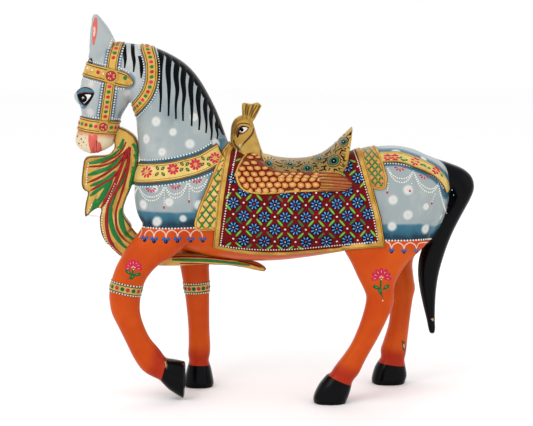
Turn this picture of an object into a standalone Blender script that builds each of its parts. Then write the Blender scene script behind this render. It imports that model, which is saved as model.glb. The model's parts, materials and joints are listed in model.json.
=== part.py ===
"""A carved wooden horse with a peacock saddle, a saddle cloth, a bridle and a long sash, all one block of wood.

The horse faces -X and stands on Z = 0, with its near side towards -Y. The side drawing is in units of a 378th of
the horse's height, measured from a point under its belly, and every share of the height is read from it. It is
drawn as the horse looks from a few steps off, so what is high up is drawn a little large.
"""
import bmesh
import bpy
import numpy as np

# Driving sizes, in metres.
HEIGHT = 0.378
SASH_THICKNESS = 0.014
CREST_THICKNESS = 0.007
CLOTH_RELIEF = 0.0020
FLAP_RELIEF = 0.0014
STRAP_RELIEF = 0.0013
ROSETTE_RELIEF = 0.0020
WING_RELIEF = 0.0042
PLEAT_RELIEF = 0.0016
FEATHER_RELIEF = 0.0010
CARVED_STEP = 0.0018
TRIANGLES = 9800

# The side drawing is this many units tall. Above the middle, it enlarges by this share for each unit of height.
DRAWN_HEIGHT = 378
DRAWN_MIDDLE = 182
DRAWN_SWELL = 7.7e-5
UNIT = HEIGHT / DRAWN_HEIGHT

# Each row is one cross-section, in drawing units: one end of it (x, z), its other end (x, z), its middle y and its
# half width across the horse.
TRUNK = (
    (-140.5, 208, -139.5, 189, 0, 11),
    (-139, 223, -136, 178, 0, 24),
    (-132.5, 237, -128, 166, 0, 34),
    (-118, 248, -114, 155, 0, 40),
    (-95, 256, -95, 147, 0, 44),
    (-62, 254, -62, 139, 0, 46),
    (-30, 240, -30, 135, 0, 47),
    (0, 232, 0, 135, 0, 47),
    (35, 233, 35, 139, 0, 47),
    (65, 240, 65, 144, 0, 48),
    (92, 247, 92, 149, 0, 50),
    (115, 249.5, 115, 148, 0, 52),
    (135, 246.5, 135, 148, 0, 50),
    (150, 240, 150, 154, 0, 44),
    (160, 236, 160, 168, 0, 36),
    (167, 230, 167, 185, 0, 25),
    (170, 220, 170, 200, 0, 11),
)
NECK = (
    (-133, 195, -50, 185, 0, 36),
    (-135, 215, -42, 215, 0, 41),
    (-135.5, 232, -43.8, 240, 0, 39),
    (-137, 250, -51, 262, 0, 35),
    (-138.5, 266, -57.4, 280, 0, 32),
    (-139.6, 279, -65.6, 297.4, 0, 30),
    (-143, 290, -76.4, 316, 0, 28),
    (-149, 300, -88.4, 330, 0, 26.5),
    (-156, 309, -103, 340, 0, 25),
    (-163, 317, -121, 348, 0, 23),
    (-170, 324, -141, 351.5, 0, 20),
    (-173, 331, -158, 350, 0, 13),
)
HEAD = (
    (-172, 352, -146, 352.5, 0, 8),
    (-179, 347, -136, 349, 0, 17),
    (-185, 339, -130, 341, 0, 21),
    (-189.5, 327, -129, 329, 0, 23.5),
    (-193.5, 314, -133, 315, 0, 24.5),
    (-196, 302, -140, 303, 0, 24),
    (-195.5, 291, -147, 291, 0, 21),
    (-193.5, 282, -153, 281, 0, 18),
    (-195.5, 272, -156.5, 272, 0, 17),
    (-198, 263, -158.5, 263, 0, 17.5),
    (-200, 256, -160, 256, 0, 18),
    (-197.5, 249, -163, 250, 0, 16.5),
    (-192, 244.5, -170, 245.5, 0, 12),
    (-186, 242, -178, 242.5, 0, 5),
)
EYE = (
    (-199.6, 301.5, -199.6, 298, 12.5, 1.5),
    (-196.5, 306, -196, 292.5, 13, 4.5),
    (-190, 308.5, -189.5, 289.5, 14, 6.5),
    (-183, 306.5, -182.5, 292.5, 15, 5.5),
    (-178.5, 302, -178.5, 297, 15.5, 2),
)
EAR = (
    (-183.5, 332, -161.5, 334, 11, 6),
    (-185.5, 342, -161.2, 344, 12.5, 7),
    (-185.4, 353, -161, 354, 14, 7),
    (-184.8, 361, -164, 362, 14.5, 6),
    (-183.8, 369, -168, 370, 15, 5),
    (-182.4, 376, -172.6, 377, 15, 3.6),
    (-180.6, 381, -176.6, 381.5, 15, 2),
)
RAISED_LEG = (
    (-127, 192, -78, 178, -17, 21),
    (-132.5, 170, -84, 158, -22, 21),
    (-143, 156, -100, 143, -25, 18),
    (-151, 144, -115, 134, -27, 16),
    (-158, 131, -125.5, 123, -28, 14.5),
    (-162.8, 116, -131, 112, -28, 13.5),
    (-164.5, 103, -133.6, 100.5, -28, 13),
    (-162.4, 87, -134, 87, -28, 12),
    (-156, 73, -131, 75, -28, 11.5),
    (-148.4, 57, -124.6, 61, -28, 11),
    (-140.8, 41, -116, 50.5, -28, 11),
    (-131.5, 28, -110, 42, -28, 11.5),
    (-117.6, 20, -105, 37.5, -28, 10.5),
)
RAISED_HOOF = (
    (-115.5, 19.5, -110, 40.5, -28, 12),
    (-107, 10.5, -104.5, 40, -28, 14),
    (-99, 5, -97.5, 38.8, -28, 15),
    (-91, 0, -90, 37, -28, 15.5),
)
STANDING_LEG = (
    (-104, 185, -52, 185, 17, 21),
    (-103, 165, -58, 165, 23, 20),
    (-101, 145, -62, 145, 26, 17),
    (-98, 126, -67.5, 127, 28, 14),
    (-95.2, 110, -67.5, 110, 28, 12.5),
    (-92.2, 90, -67.8, 90, 28, 11.5),
    (-89.7, 62, -67.8, 62, 28, 11),
    (-89.5, 42, -67, 42, 28, 11.5),
    (-90, 33, -67.5, 33, 28, 12),
    (-88.5, 25, -69.5, 25, 28, 10.5),
    (-88.5, 18, -69.5, 18, 28, 10),
)
STANDING_HOOF = (
    (-88.5, 28, -69.5, 28, 28, 11),
    (-91, 19, -66.5, 19, 28, 13),
    (-93.5, 9, -64.5, 9, 28, 14.5),
    (-94.5, 3, -63.5, 3, 28, 15),
    (-94, 0, -64, 0, 28, 14.5),
)
NEAR_HIND_LEG = (
    (72, 205, 150, 200, -22, 24),
    (68, 185, 153, 180, -26, 24),
    (65, 163, 150, 160, -28, 22),
    (66, 150, 141, 149, -30, 20),
    (73, 137, 130, 139, -32, 18),
    (80, 122, 120, 125, -34, 15.5),
    (85.5, 111, 115, 112, -36, 13.5),
    (87.8, 102, 114.8, 99, -37, 12.5),
    (83.4, 83, 111, 88, -39, 11.5),
    (74.8, 61, 100.6, 66, -40, 11),
    (66.8, 48, 91.6, 50, -41, 11.2),
    (60, 39, 86.2, 40, -41.5, 11.6),
    (54.4, 31, 81, 29, -42, 12),
    (52, 24, 75.5, 22, -42, 10.8),
    (50, 17, 71, 16, -42, 10.5),
)
NEAR_HIND_HOOF = (
    (50, 28, 75, 23, -42, 11.5),
    (42, 18, 73.5, 15, -42, 14),
    (37.5, 9, 71.5, 8, -42, 15.3),
    (36, 3, 69.5, 3, -42, 16),
    (36.5, 0, 69, 0, -42, 15.5),
)
FAR_HIND_LEG = (
    (80, 205, 152, 200, 22, 24),
    (78, 185, 155, 180, 26, 24),
    (80, 163, 154, 162, 28, 22),
    (90, 145, 149, 148, 31, 20),
    (102, 126, 140, 130, 34, 16),
    (111, 111, 141, 111, 36, 13.5),
    (114.5, 99, 142.8, 100, 37.5, 12.5),
    (117, 86, 140.5, 88, 39, 11.5),
    (116.5, 65, 137.8, 66, 40, 11),
    (111.5, 46, 136, 48, 41, 11.3),
    (108, 34, 134.5, 32, 42, 12),
    (109.5, 25, 132.5, 23, 42, 10.8),
    (109, 17, 131, 16, 42, 10.5),
)
FAR_HIND_HOOF = (
    (109, 27, 133, 23, 42, 11.5),
    (103, 18, 134.5, 15, 42, 14),
    (100, 9, 135.5, 8, 42, 15.3),
    (99, 3, 134, 3, 42, 16),
    (99.5, 0, 133.5, 0, 42, 15.5),
)
TAIL = (
    (150, 212, 156, 237.5, 0, 11),
    (161, 208, 173, 232, 0, 12.5),
    (169, 205, 186, 226.5, 0, 13),
    (172, 200, 194.5, 218.5, 0, 13),
    (172, 195, 197, 208, 0, 13),
    (168, 188, 193.5, 197, 0, 12.5),
    (160, 177, 185, 181, 0, 12),
    (153, 165, 177.5, 166, 0, 11.5),
    (147, 151, 171.5, 151.5, 0, 11),
    (142.5, 135, 166.5, 136, 0, 10.5),
    (141.8, 120, 162.5, 120, 0, 10),
    (144, 104, 160.3, 104, 0, 9),
    (147.5, 88, 159.5, 88, 0, 7.5),
    (151, 74, 159.5, 74, 0, 6),
    (153, 64, 160, 64, 0, 4.5),
    (154.5, 59.5, 159, 59.5, 0, 2.5),
)
SEAT = (
    (-22, 240, -22, 170, 0, 28),
    (-12, 241.5, -12, 163, 0, 42),
    (0, 238.5, 0, 160, 0, 46),
    (14, 237, 12, 158, 0, 46),
    (28, 237.5, 24, 160, 0, 46),
    (40, 240, 34, 162, 0, 46),
    (49, 244.5, 42, 166, 0, 45.5),
    (59, 252.5, 49, 171, 0, 43.5),
    (69, 262.5, 55, 177, 0, 39),
    (76, 269.5, 60, 183, 0, 34),
)
BIRD = (
    (-36.5, 279.5, -30, 279.5, 0, 3),
    (-41.5, 276, -26, 276.5, 0, 7.5),
    (-44.5, 270, -22.5, 271, 0, 9.5),
    (-45.5, 261, -20, 262, 0, 10.5),
    (-45.5, 252, -17, 253, 0, 10),
    (-43.5, 246.5, -15, 247, 0, 10),
    (-40, 242, -13, 242, 0, 12),
    (-40, 234, -10, 236, 0, 16),
    (-39, 222, -2, 226, 0, 22),
)
RIBBON = (
    (-147, 172, -172, 158, 0, 6.5),
    (-140, 163, -162, 144, 0, 7),
    (-130, 153.5, -146, 133.5, 0, 8),
    (-116, 146, -124, 129.5, 0, 9),
    (-100, 142, -102, 129, 0, 10.5),
    (-82, 142, -82, 130, 0, 11),
    (-64, 141, -64, 130.5, 0, 11),
    (-46, 138, -47, 130, 0, 10),
    (-31, 135, -33, 127.5, 0, 9),
    (-20, 133, -22.5, 125, 0, 7.5),
    (-13, 129.5, -15, 123.5, 0, 5),
    (-9.5, 126, -11.5, 123, 0, 2.5),
)
BRIDGE = (
    (-150, 217, -150, 210, 0, 4),
    (-145, 217, -145, 210.4, 0, 4),
    (-138, 217.5, -138, 210, 0, 5),
)

# Outlines in the side drawing, (x, z).
SASH_OUTLINE = (
    (-160, 262), (-157, 268.5), (-148, 265), (-141, 259.5), (-137.5, 252), (-137, 236), (-140.5, 219),
    (-144, 209), (-149.5, 196), (-152.5, 185), (-149.5, 177), (-144, 168), (-152, 160), (-165, 150),
    (-171.5, 157), (-174.5, 166), (-175, 178.5), (-173.5, 186), (-177, 187.5), (-183, 184), (-189, 178.5),
    (-189.8, 185), (-188.5, 194), (-186.5, 203.5), (-190.5, 205.5), (-193, 212.5), (-191.5, 229.5),
    (-190, 236), (-186, 239), (-169, 240), (-163, 244), (-160.3, 249), (-161, 255),
)
CREST_OUTLINE = (
    (-33.5, 270), (-34.2, 289.5), (-32, 292.5), (-25, 291.3), (-19, 292.8), (-15.5, 290.5), (-15.5, 287.5),
    (-24.5, 272),
)
CLOTH_OUTLINE = (
    (-50, 300), (-51, 247), (-57, 200), (-62.5, 152.5), (-40, 147.6), (-20, 145.6), (5, 145), (28, 146.8),
    (62, 151), (105, 154.6), (101.5, 182), (92.6, 215), (84.4, 247), (84, 300),
)
FRONT_FLAP_OUTLINE = (
    (-46, 300), (-53, 248), (-66, 216), (-76, 192), (-80, 176), (-78.5, 171), (-73, 169), (-58, 170),
    (-40, 300),
)
REAR_FLAP_OUTLINE = (
    (72, 300), (98, 252), (103.5, 238), (107.5, 222), (106.5, 214), (100, 209.5), (90, 212), (72, 246),
)
WING_OUTLINE = (
    (-38, 230), (-40.5, 224), (-39, 215.5), (-34, 209.7), (-23.5, 205.3), (-7, 205.5), (13.5, 207.9),
    (35, 208.3), (65, 208.8), (72, 210.5), (74, 215), (72, 219), (61, 226), (39, 226.4), (5, 226),
    (-7, 229.5), (-13.5, 234.6), (-15, 241), (-19, 245), (-27, 245), (-35, 240),
)

# Straps: the middle line in the side drawing, and half the width.
STRAPS = (
    (((-206, 330), (-193, 327.5), (-176.5, 323.5), (-162, 320), (-150, 317), (-140.5, 313.5)), 7.0),
    (((-206, 274), (-197, 273), (-182.5, 270.5), (-170.5, 269.3), (-155, 268), (-146, 267)), 6.7),
    (((-155.4, 357), (-156.6, 351), (-160, 338), (-162, 320), (-165.5, 298), (-168.6, 280), (-170.5, 269.3)), 5.0),
    (((-129.5, 360), (-128.3, 349.5), (-124, 338), (-122.2, 328.5), (-122.4, 316), (-125.5, 305),
      (-132, 295), (-141.5, 285), (-148.5, 278.5)), 5.8),
    (((-152, 223), (-140, 223.5), (-117, 225.5), (-94.5, 229), (-72, 235.5), (-54, 245.5)), 9.6),
    (((101, 240), (120, 240), (135, 235.4), (148.4, 229.6), (158, 223), (165, 214), (169, 203)), 4.8),
)
ROSETTES = ((-162, 320, 7.2), (-170.5, 269.3, 6.0))

# The sash is gathered at its knot, and its pleats fan out from there down to this height.
SASH_KNOT = (-146, 254)
FAN_FOOT = 206
FAN_PLEATS = 26
STEM_PLEAT_WIDTH = 8.5
# The crest's feathers fan out from a point in the bird's head, and the long feathers start behind this place.
CREST_ROOT = (-29, 255)
CREST_FEATHERS = 36
LONG_FEATHERS_FROM = 38
LONG_FEATHER_WIDTH = 5.2


def true_place(x, z):
    """Where a point of the side drawing really lies, in the same units."""
    swell = DRAWN_SWELL * np.maximum(0, z - DRAWN_MIDDLE)
    return x * (1 - swell), z - (z - DRAWN_MIDDLE) * swell


def smooth_rows(rows, steps):
    """The rows at their true places, with others between them on a Catmull-Rom curve."""
    rows = np.array(rows, float)
    rows[:, 0], rows[:, 1] = true_place(rows[:, 0], rows[:, 1])
    if rows.shape[1] > 2:
        rows[:, 2], rows[:, 3] = true_place(rows[:, 2], rows[:, 3])
    padded = np.vstack([2 * rows[0] - rows[1], rows, 2 * rows[-1] - rows[-2]])
    made = []
    for i in range(len(rows) - 1):
        p0, p1, p2, p3 = padded[i:i + 4]
        for t in np.arange(steps) / steps:
            made.append(
                p1
                + (p2 - p0) * t / 2
                + (2 * p0 - 5 * p1 + 4 * p2 - p3) * t**2 / 2
                + (3 * p1 - p0 - 3 * p2 + p3) * t**3 / 2
            )
    made.append(rows[-1])
    return np.array(made)


def loft(bm, rows, exponent=2.2, sides=44, steps=5):
    """Adds a closed tube through the rows' cross-sections, which are superellipses."""
    angles = 2 * np.pi * np.arange(sides) / sides
    along = np.sign(np.cos(angles)) * np.abs(np.cos(angles)) ** (2 / exponent)
    across = np.sign(np.sin(angles)) * np.abs(np.sin(angles)) ** (2 / exponent)
    rings = []
    for x1, z1, x2, z2, y, half_width in smooth_rows(rows, steps):
        ring = zip(
            (x1 + x2) / 2 + along * (x1 - x2) / 2,
            y + across * half_width,
            (z1 + z2) / 2 + along * (z1 - z2) / 2,
        )
        rings.append([bm.verts.new([UNIT * c for c in point]) for point in ring])
    for ring, following in zip(rings, rings[1:]):
        for i in range(sides):
            j = (i + 1) % sides
            bm.faces.new((ring[i], ring[j], following[j], following[i]))
    bm.faces.new(rings[0][::-1])
    bm.faces.new(rings[-1])


def mirrored(rows):
    """The same rows on the horse's near side."""
    return [(*row[:4], -row[4], row[5]) for row in rows]


def plate(bm, outline, thickness):
    """Adds an upright board in the horse's middle plane, cut to the outline."""
    fine = smooth_rows(tuple(outline) + (outline[0],), 3)[:-1] * UNIT
    sides = [[bm.verts.new((x, y, z)) for x, z in fine] for y in (-thickness / 2, thickness / 2)]
    bm.faces.new(sides[0])
    bm.faces.new(sides[1][::-1])
    for i in range(len(fine)):
        j = (i + 1) % len(fine)
        bm.faces.new((sides[0][j], sides[0][i], sides[1][i], sides[1][j]))


def as_object(name, bm):
    """A new object that holds the bmesh, with its faces pointing out."""
    bmesh.ops.recalc_face_normals(bm, faces=bm.faces)
    mesh = bpy.data.meshes.new(name)
    bm.to_mesh(mesh)
    bm.free()
    made = bpy.data.objects.new(name, mesh)
    bpy.context.scene.collection.objects.link(made)
    return made


def bake_modifiers(ob):
    """Puts the evaluated mesh in place of the object's own, and drops the modifiers."""
    evaluated = ob.evaluated_get(bpy.context.evaluated_depsgraph_get())
    mesh = bpy.data.meshes.new_from_object(evaluated)
    ob.modifiers.clear()
    ob.data = mesh
    return ob


def fuse(ob, step, rounds):
    """Joins the object's overlapping shapes into one skin and softens the creases between them."""
    remesh = ob.modifiers.new("one skin", "REMESH")
    remesh.mode = "VOXEL"
    remesh.voxel_size = step
    soften = ob.modifiers.new("soften", "SMOOTH")
    soften.factor = 0.5
    soften.iterations = rounds
    return bake_modifiers(ob)


def path_distance(x, z, path):
    """How far each point is from the path in the side drawing."""
    path = smooth_rows(path, 3)
    best = np.full(len(x), np.inf)
    for (ax, az), (bx, bz) in zip(path, path[1:]):
        dx, dz = bx - ax, bz - az
        t = np.clip(((x - ax) * dx + (z - az) * dz) / (dx * dx + dz * dz), 0, 1)
        best = np.minimum(best, np.hypot(x - ax - t * dx, z - az - t * dz))
    return best


def inside_distance(x, z, outline):
    """How deep each point is inside the outline, negative outside it."""
    ends = np.array(tuple(outline) + (outline[0],), float)
    ends = np.column_stack(true_place(ends[:, 0], ends[:, 1]))
    edge = np.full(len(x), np.inf)
    inside = np.zeros(len(x), bool)
    for (ax, az), (bx, bz) in zip(ends, ends[1:]):
        dx, dz = bx - ax, bz - az
        t = np.clip(((x - ax) * dx + (z - az) * dz) / (dx * dx + dz * dz), 0, 1)
        edge = np.minimum(edge, np.hypot(x - ax - t * dx, z - az - t * dz))
        crosses = (az > z) != (bz > z)
        where = ax + (z - az) * dx / (dz if dz else 1e-9)
        inside ^= crosses & (x < where)
    return np.where(inside, edge, -edge)


def ramp(value, low, high):
    """0 below low, 1 above high, and a smooth step between them."""
    t = np.clip((value - low) / (high - low), 0, 1)
    return t * t * (3 - 2 * t)


def wave(value, width):
    """Ridges of the given width, from 0 in the grooves to 1 on the crests."""
    return 0.5 + 0.5 * np.cos(2 * np.pi * value / width)


def fan(x, z, root, count):
    """Ridges that spread from the root, count of them to a full turn."""
    root_x, root_z = true_place(*root)
    return wave(np.arctan2(z - root_z, x - root_x), 2 * np.pi / count)


def relief(x, y, z):
    """How far the carving stands proud of the smooth horse at each point, in metres."""
    softness = 1.0
    height = np.zeros(len(x))
    for path, half_width in STRAPS:
        strap = ramp(half_width - path_distance(x, z, path), -softness, softness)
        height = np.maximum(height, strap * STRAP_RELIEF)
    for rx, rz, radius in ROSETTES:
        rx, rz = true_place(rx, rz)
        rosette = ramp(radius - np.hypot(x - rx, z - rz), -softness, softness)
        height = np.maximum(height, rosette * ROSETTE_RELIEF)
    for outline, proud in (
        (FRONT_FLAP_OUTLINE, FLAP_RELIEF),
        (REAR_FLAP_OUTLINE, FLAP_RELIEF),
        (CLOTH_OUTLINE, CLOTH_RELIEF),
    ):
        panel = ramp(inside_distance(x, z, outline), -softness, softness)
        height = np.maximum(height, panel * proud)
    wing_depth = inside_distance(x, z, WING_OUTLINE)
    wing = np.sqrt(np.clip((wing_depth + softness) / 6, 0, 1)) * (np.abs(y) > 14)
    height += wing * WING_RELIEF
    long_feathers = ramp(wing_depth, 0, 2) * ramp(x, LONG_FEATHERS_FROM - 6, LONG_FEATHERS_FROM + 6)
    height -= long_feathers * wave(z, LONG_FEATHER_WIDTH) * FEATHER_RELIEF * (np.abs(y) > 14)
    crest_depth = inside_distance(x, z, CREST_OUTLINE)
    height -= ramp(crest_depth, -1, 1) * fan(x, z, CREST_ROOT, CREST_FEATHERS) * FEATHER_RELIEF * (z > 272)
    sash_depth = inside_distance(x, z, SASH_OUTLINE)
    pleats = np.where(z > FAN_FOOT, fan(x, z, SASH_KNOT, FAN_PLEATS), wave(sash_depth, STEM_PLEAT_WIDTH))
    on_sash = (sash_depth > -3) & (np.abs(y) * UNIT < 0.6 * SASH_THICKNESS)
    return np.where(on_sash, -PLEAT_RELIEF * pleats * ramp(sash_depth, 0, 3), height)


def carve_relief(ob):
    """Raises the straps, cloth and wings from the skin, and planes the soles flat."""
    mesh = ob.data
    points = np.empty(3 * len(mesh.vertices))
    normals = np.empty(3 * len(mesh.vertices))
    mesh.vertices.foreach_get("co", points)
    mesh.vertices.foreach_get("normal", normals)
    points = points.reshape(-1, 3)
    normals = normals.reshape(-1, 3)
    x, y, z = points.T / UNIT
    points = points + normals * relief(x, y, z)[:, None]
    planed = 0.6 * UNIT
    points[points[:, 2] < planed, 2] = 0
    mesh.vertices.foreach_set("co", points.ravel())
    mesh.update()


def centre_on_ground(mesh):
    """Moves the mesh so that the middle of its box is over the origin."""
    points = np.empty(3 * len(mesh.vertices))
    mesh.vertices.foreach_get("co", points)
    points = points.reshape(-1, 3)
    middle = (points.min(0) + points.max(0)) / 2
    points -= (middle[0], middle[1], points[:, 2].min())
    mesh.vertices.foreach_set("co", points.ravel())
    mesh.update()
    print("origin moved by, in mm:", np.round(middle * 1000, 3))


def painted_wood(name, colour, roughness):
    """A plain painted finish."""
    material = bpy.data.materials.new(name)
    material.use_nodes = True
    shader = material.node_tree.nodes["Principled BSDF"]
    shader.inputs["Base Color"].default_value = (*colour, 1)
    shader.inputs["Roughness"].default_value = roughness
    shader.inputs["Metallic"].default_value = 0.0
    return material


def block_out():
    """Every mass of the horse as overlapping closed shapes."""
    bm = bmesh.new()
    for rows in (TRUNK, NECK, HEAD, RAISED_LEG, STANDING_LEG, NEAR_HIND_LEG, FAR_HIND_LEG, TAIL, RIBBON, BRIDGE):
        loft(bm, rows)
    for rows in (RAISED_HOOF, STANDING_HOOF, NEAR_HIND_HOOF, FAR_HIND_HOOF):
        loft(bm, rows, exponent=2.4)
    loft(bm, EYE)
    loft(bm, mirrored(EYE))
    loft(bm, EAR)
    loft(bm, mirrored(EAR))
    loft(bm, SEAT)
    loft(bm, BIRD)
    plate(bm, SASH_OUTLINE, SASH_THICKNESS)
    plate(bm, CREST_OUTLINE, CREST_THICKNESS)
    return as_object("carved_horse", bm)


def main():
    for ob in list(bpy.data.objects):
        bpy.data.objects.remove(ob)
    horse = fuse(block_out(), CARVED_STEP, 4)
    carve_relief(horse)
    thin = horse.modifiers.new("fewer faces", "DECIMATE")
    thin.ratio = TRIANGLES / (2 * len(horse.data.polygons))
    bake_modifiers(horse)
    centre_on_ground(horse.data)
    horse.data.shade_smooth()
    horse.data.set_sharp_from_angle(angle=np.radians(40))
    horse.data.materials.clear()
    horse.data.materials.append(painted_wood("painted_wood", (0.55, 0.60, 0.62), 0.35))
    print("triangles:", sum(len(p.vertices) - 2 for p in horse.data.polygons))


main()
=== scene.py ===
# %% [markdown]
# # Dressing a carved and painted wooden horse
#
# The real horse is one block of wood. It was carved in the round, smoothed with filler and then painted by
# hand in thick enamel: a grey coat, orange legs, and hundreds of dots, petals and brush lines that stand a
# hair proud. The lesson follows the maker. First the forms are carved finer than the solid shows them, then
# the raised straps and cloth are laid on, and at last each stroke of paint is put down on whatever lies
# under it.

# %% Load the carved block
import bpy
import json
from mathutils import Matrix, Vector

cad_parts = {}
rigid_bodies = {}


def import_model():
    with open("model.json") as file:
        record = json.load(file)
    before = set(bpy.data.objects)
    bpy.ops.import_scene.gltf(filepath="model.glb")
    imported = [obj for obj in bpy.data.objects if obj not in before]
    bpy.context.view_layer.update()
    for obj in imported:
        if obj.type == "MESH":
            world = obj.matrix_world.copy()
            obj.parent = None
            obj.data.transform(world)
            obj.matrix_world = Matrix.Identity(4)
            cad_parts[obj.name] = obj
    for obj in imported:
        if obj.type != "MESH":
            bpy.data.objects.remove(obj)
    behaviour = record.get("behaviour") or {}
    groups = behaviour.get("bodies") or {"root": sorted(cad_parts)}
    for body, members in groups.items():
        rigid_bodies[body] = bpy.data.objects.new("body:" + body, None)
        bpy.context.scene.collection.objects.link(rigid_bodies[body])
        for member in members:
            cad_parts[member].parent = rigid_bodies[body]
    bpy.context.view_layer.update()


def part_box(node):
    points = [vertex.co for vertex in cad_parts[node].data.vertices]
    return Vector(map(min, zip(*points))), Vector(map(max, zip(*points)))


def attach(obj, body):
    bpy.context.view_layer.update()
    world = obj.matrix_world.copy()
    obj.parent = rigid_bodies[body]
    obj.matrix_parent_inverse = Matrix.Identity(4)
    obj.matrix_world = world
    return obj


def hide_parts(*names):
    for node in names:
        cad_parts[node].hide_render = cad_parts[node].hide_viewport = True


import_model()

import json
import math

import bmesh
import bpy
import numpy as np
from mathutils import Vector
from mathutils.bvhtree import BVHTree
from mathutils.geometry import delaunay_2d_cdt

BLOCK = "carved_horse"
ROOT = "root"
block_low, block_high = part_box(BLOCK)
print("the block measures", [round(c, 4) for c in block_high - block_low])

# %% [markdown]
# The carver's side drawing is in units of a 378th of the horse's height. It shows the horse as seen from a
# few steps off, so what is high up is drawn a little large. These helpers turn the drawing into places on
# the block, and draw a smooth curve through a few given points.

# %% Read the side drawing
DRAWN_HEIGHT = 378
DRAWN_MIDDLE = 182
DRAWN_SWELL = 7.7e-5
DRAWN_ORIGIN = 1.125
UNIT = (block_high.z - block_low.z) / DRAWN_HEIGHT
MM = 0.001
CM = 0.01


def true_place(x, z):
    """Where a point of the side drawing lies on the block, in metres."""
    swell = DRAWN_SWELL * np.maximum(0, z - DRAWN_MIDDLE)
    return (x * (1 - swell) + DRAWN_ORIGIN) * UNIT, (z - (z - DRAWN_MIDDLE) * swell) * UNIT


def curve_through(points, steps):
    """A smooth curve through the points, with so many steps between each two."""
    points = np.array(points, float)
    padded = np.vstack([2 * points[0] - points[1], points, 2 * points[-1] - points[-2]])
    made = []
    for i in range(len(points) - 1):
        p0, p1, p2, p3 = padded[i:i + 4]
        for t in np.arange(steps) / steps:
            made.append(
                p1
                + (p2 - p0) * t / 2
                + (2 * p0 - 5 * p1 + 4 * p2 - p3) * t**2 / 2
                + (3 * p1 - p0 - 3 * p2 + p3) * t**3 / 2
            )
    made.append(points[-1])
    return np.array(made)


def drawn_curve(path, steps=8):
    """A path of the side drawing as a smooth curve on the block, in metres."""
    path = np.array(path, float)
    return curve_through(np.column_stack(true_place(path[:, 0], path[:, 1])), steps)


def spaced(points, gap):
    """The polyline's points at even distances of about the gap, and how long it is."""
    points = np.array([tuple(p) for p in points])
    lengths = np.concatenate([[0], np.cumsum(np.linalg.norm(np.diff(points, axis=0), axis=1))])
    count = max(2, int(round(lengths[-1] / gap)) + 1)
    at = np.linspace(0, lengths[-1], count)
    made = np.column_stack([np.interp(at, lengths, column) for column in points.T])
    return made, lengths[-1]


def ramp(value, low, high):
    """0 below low, 1 above high, and a smooth step between them."""
    t = np.clip((value - low) / (high - low), 0, 1)
    return t * t * (3 - 2 * t)


print("one drawing unit is", round(UNIT * 1000, 4), "mm")

# %% [markdown]
# The camera stands where the photographer stood: about four horse lengths off, a little above the horse's
# back, tilted down. Its rays also serve as the painter's pointing finger: a brush mark that is seen at some
# place of the picture is put where that ray meets the carving.

# %% Place the camera
PICTURE = (533, 426)
CAMERA_DISTANCE = 1.570
CAMERA_HEIGHT = 0.374
AIM_X = -0.0085
AIM_Z = 0.182
FOCAL_PIXELS = 1588
SENSOR = 36
pitch = math.atan((CAMERA_HEIGHT - AIM_Z) / CAMERA_DISTANCE)
CAMERA_PLACE = Vector((AIM_X, -CAMERA_DISTANCE, CAMERA_HEIGHT))
camera_data = bpy.data.cameras.new("studio_camera")
camera_data.sensor_width = SENSOR
camera_data.lens = FOCAL_PIXELS * SENSOR / PICTURE[0]
camera = bpy.data.objects.new("studio_camera", camera_data)
camera.location = CAMERA_PLACE
camera.rotation_euler = (math.pi / 2 - pitch, 0, 0)
bpy.context.scene.collection.objects.link(camera)
bpy.context.scene.camera = camera


def picture_ray(px, py):
    """The direction from the camera through a place of the picture."""
    right = (px - PICTURE[0] / 2) / FOCAL_PIXELS
    up = (PICTURE[1] / 2 - py) / FOCAL_PIXELS
    ahead = math.cos(pitch) + up * math.sin(pitch)
    upward = up * math.cos(pitch) - math.sin(pitch)
    return Vector((right, ahead, upward)).normalized()


print("the camera looks down by", round(math.degrees(pitch), 1), "degrees")

# %% [markdown]
# Each mass of the horse is a loft: a row of rounded cross-sections, as a carver saws a profile and then
# rounds it. A row gives one end of the section (x, z), its other end (x, z), its middle y and its half
# width. The outline seen from the side then runs exactly through the ends that were chosen, which no sphere
# or cube gives.

# %% Draw the body's cross-sections
TRUNK = ((-140.5, 208, -139.5, 189, 0, 11), (-139, 223, -136, 178, 0, 24),
    (-132.5, 237, -128, 166, 0, 34), (-118, 248, -114, 155, 0, 40), (-95, 256, -95, 147, 0, 44),
    (-62, 254, -62, 139, 0, 46), (-30, 240, -30, 135, 0, 47), (0, 232, 0, 135, 0, 47),
    (35, 233, 35, 139, 0, 47), (65, 240, 65, 144, 0, 48), (92, 247, 92, 149, 0, 50),
    (115, 249.5, 115, 148, 0, 52), (135, 246.5, 135, 148, 0, 50), (150, 240, 150, 154, 0, 44),
    (160, 236, 160, 168, 0, 36), (167, 230, 167, 185, 0, 25), (170, 220, 170, 200, 0, 11))
NECK = ((-133, 195, -50, 185, 0, 36), (-135, 215, -42, 215, 0, 41), (-135.5, 232, -43.8, 240, 0, 39),
    (-137, 250, -51, 262, 0, 35), (-138.5, 266, -57.4, 280, 0, 32), (-139.6, 279, -65.6, 297.4, 0, 30),
    (-143, 290, -76.4, 316, 0, 28), (-149, 300, -88.4, 330, 0, 26.5), (-156, 309, -103, 340, 0, 25),
    (-163, 317, -121, 348, 0, 23), (-170, 324, -141, 351.5, 0, 20), (-173, 331, -158, 350, 0, 13))
HEAD = ((-172, 352, -146, 352.5, 0, 8), (-179, 347, -136, 349, 0, 17), (-185, 339, -130, 341, 0, 21),
    (-189.5, 327, -129, 329, 0, 23.5), (-193.5, 314, -133, 315, 0, 24.5), (-196, 302, -140, 303, 0, 24),
    (-195.5, 291, -147, 291, 0, 21), (-193.5, 282, -153, 281, 0, 18), (-195.5, 272, -156.5, 272, 0, 17),
    (-198, 263, -158.5, 263, 0, 17.5), (-200, 256, -160, 256, 0, 18), (-197.5, 249, -163, 250, 0, 16.5),
    (-192, 244.5, -170, 245.5, 0, 12), (-186, 242, -178, 242.5, 0, 5))
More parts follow.
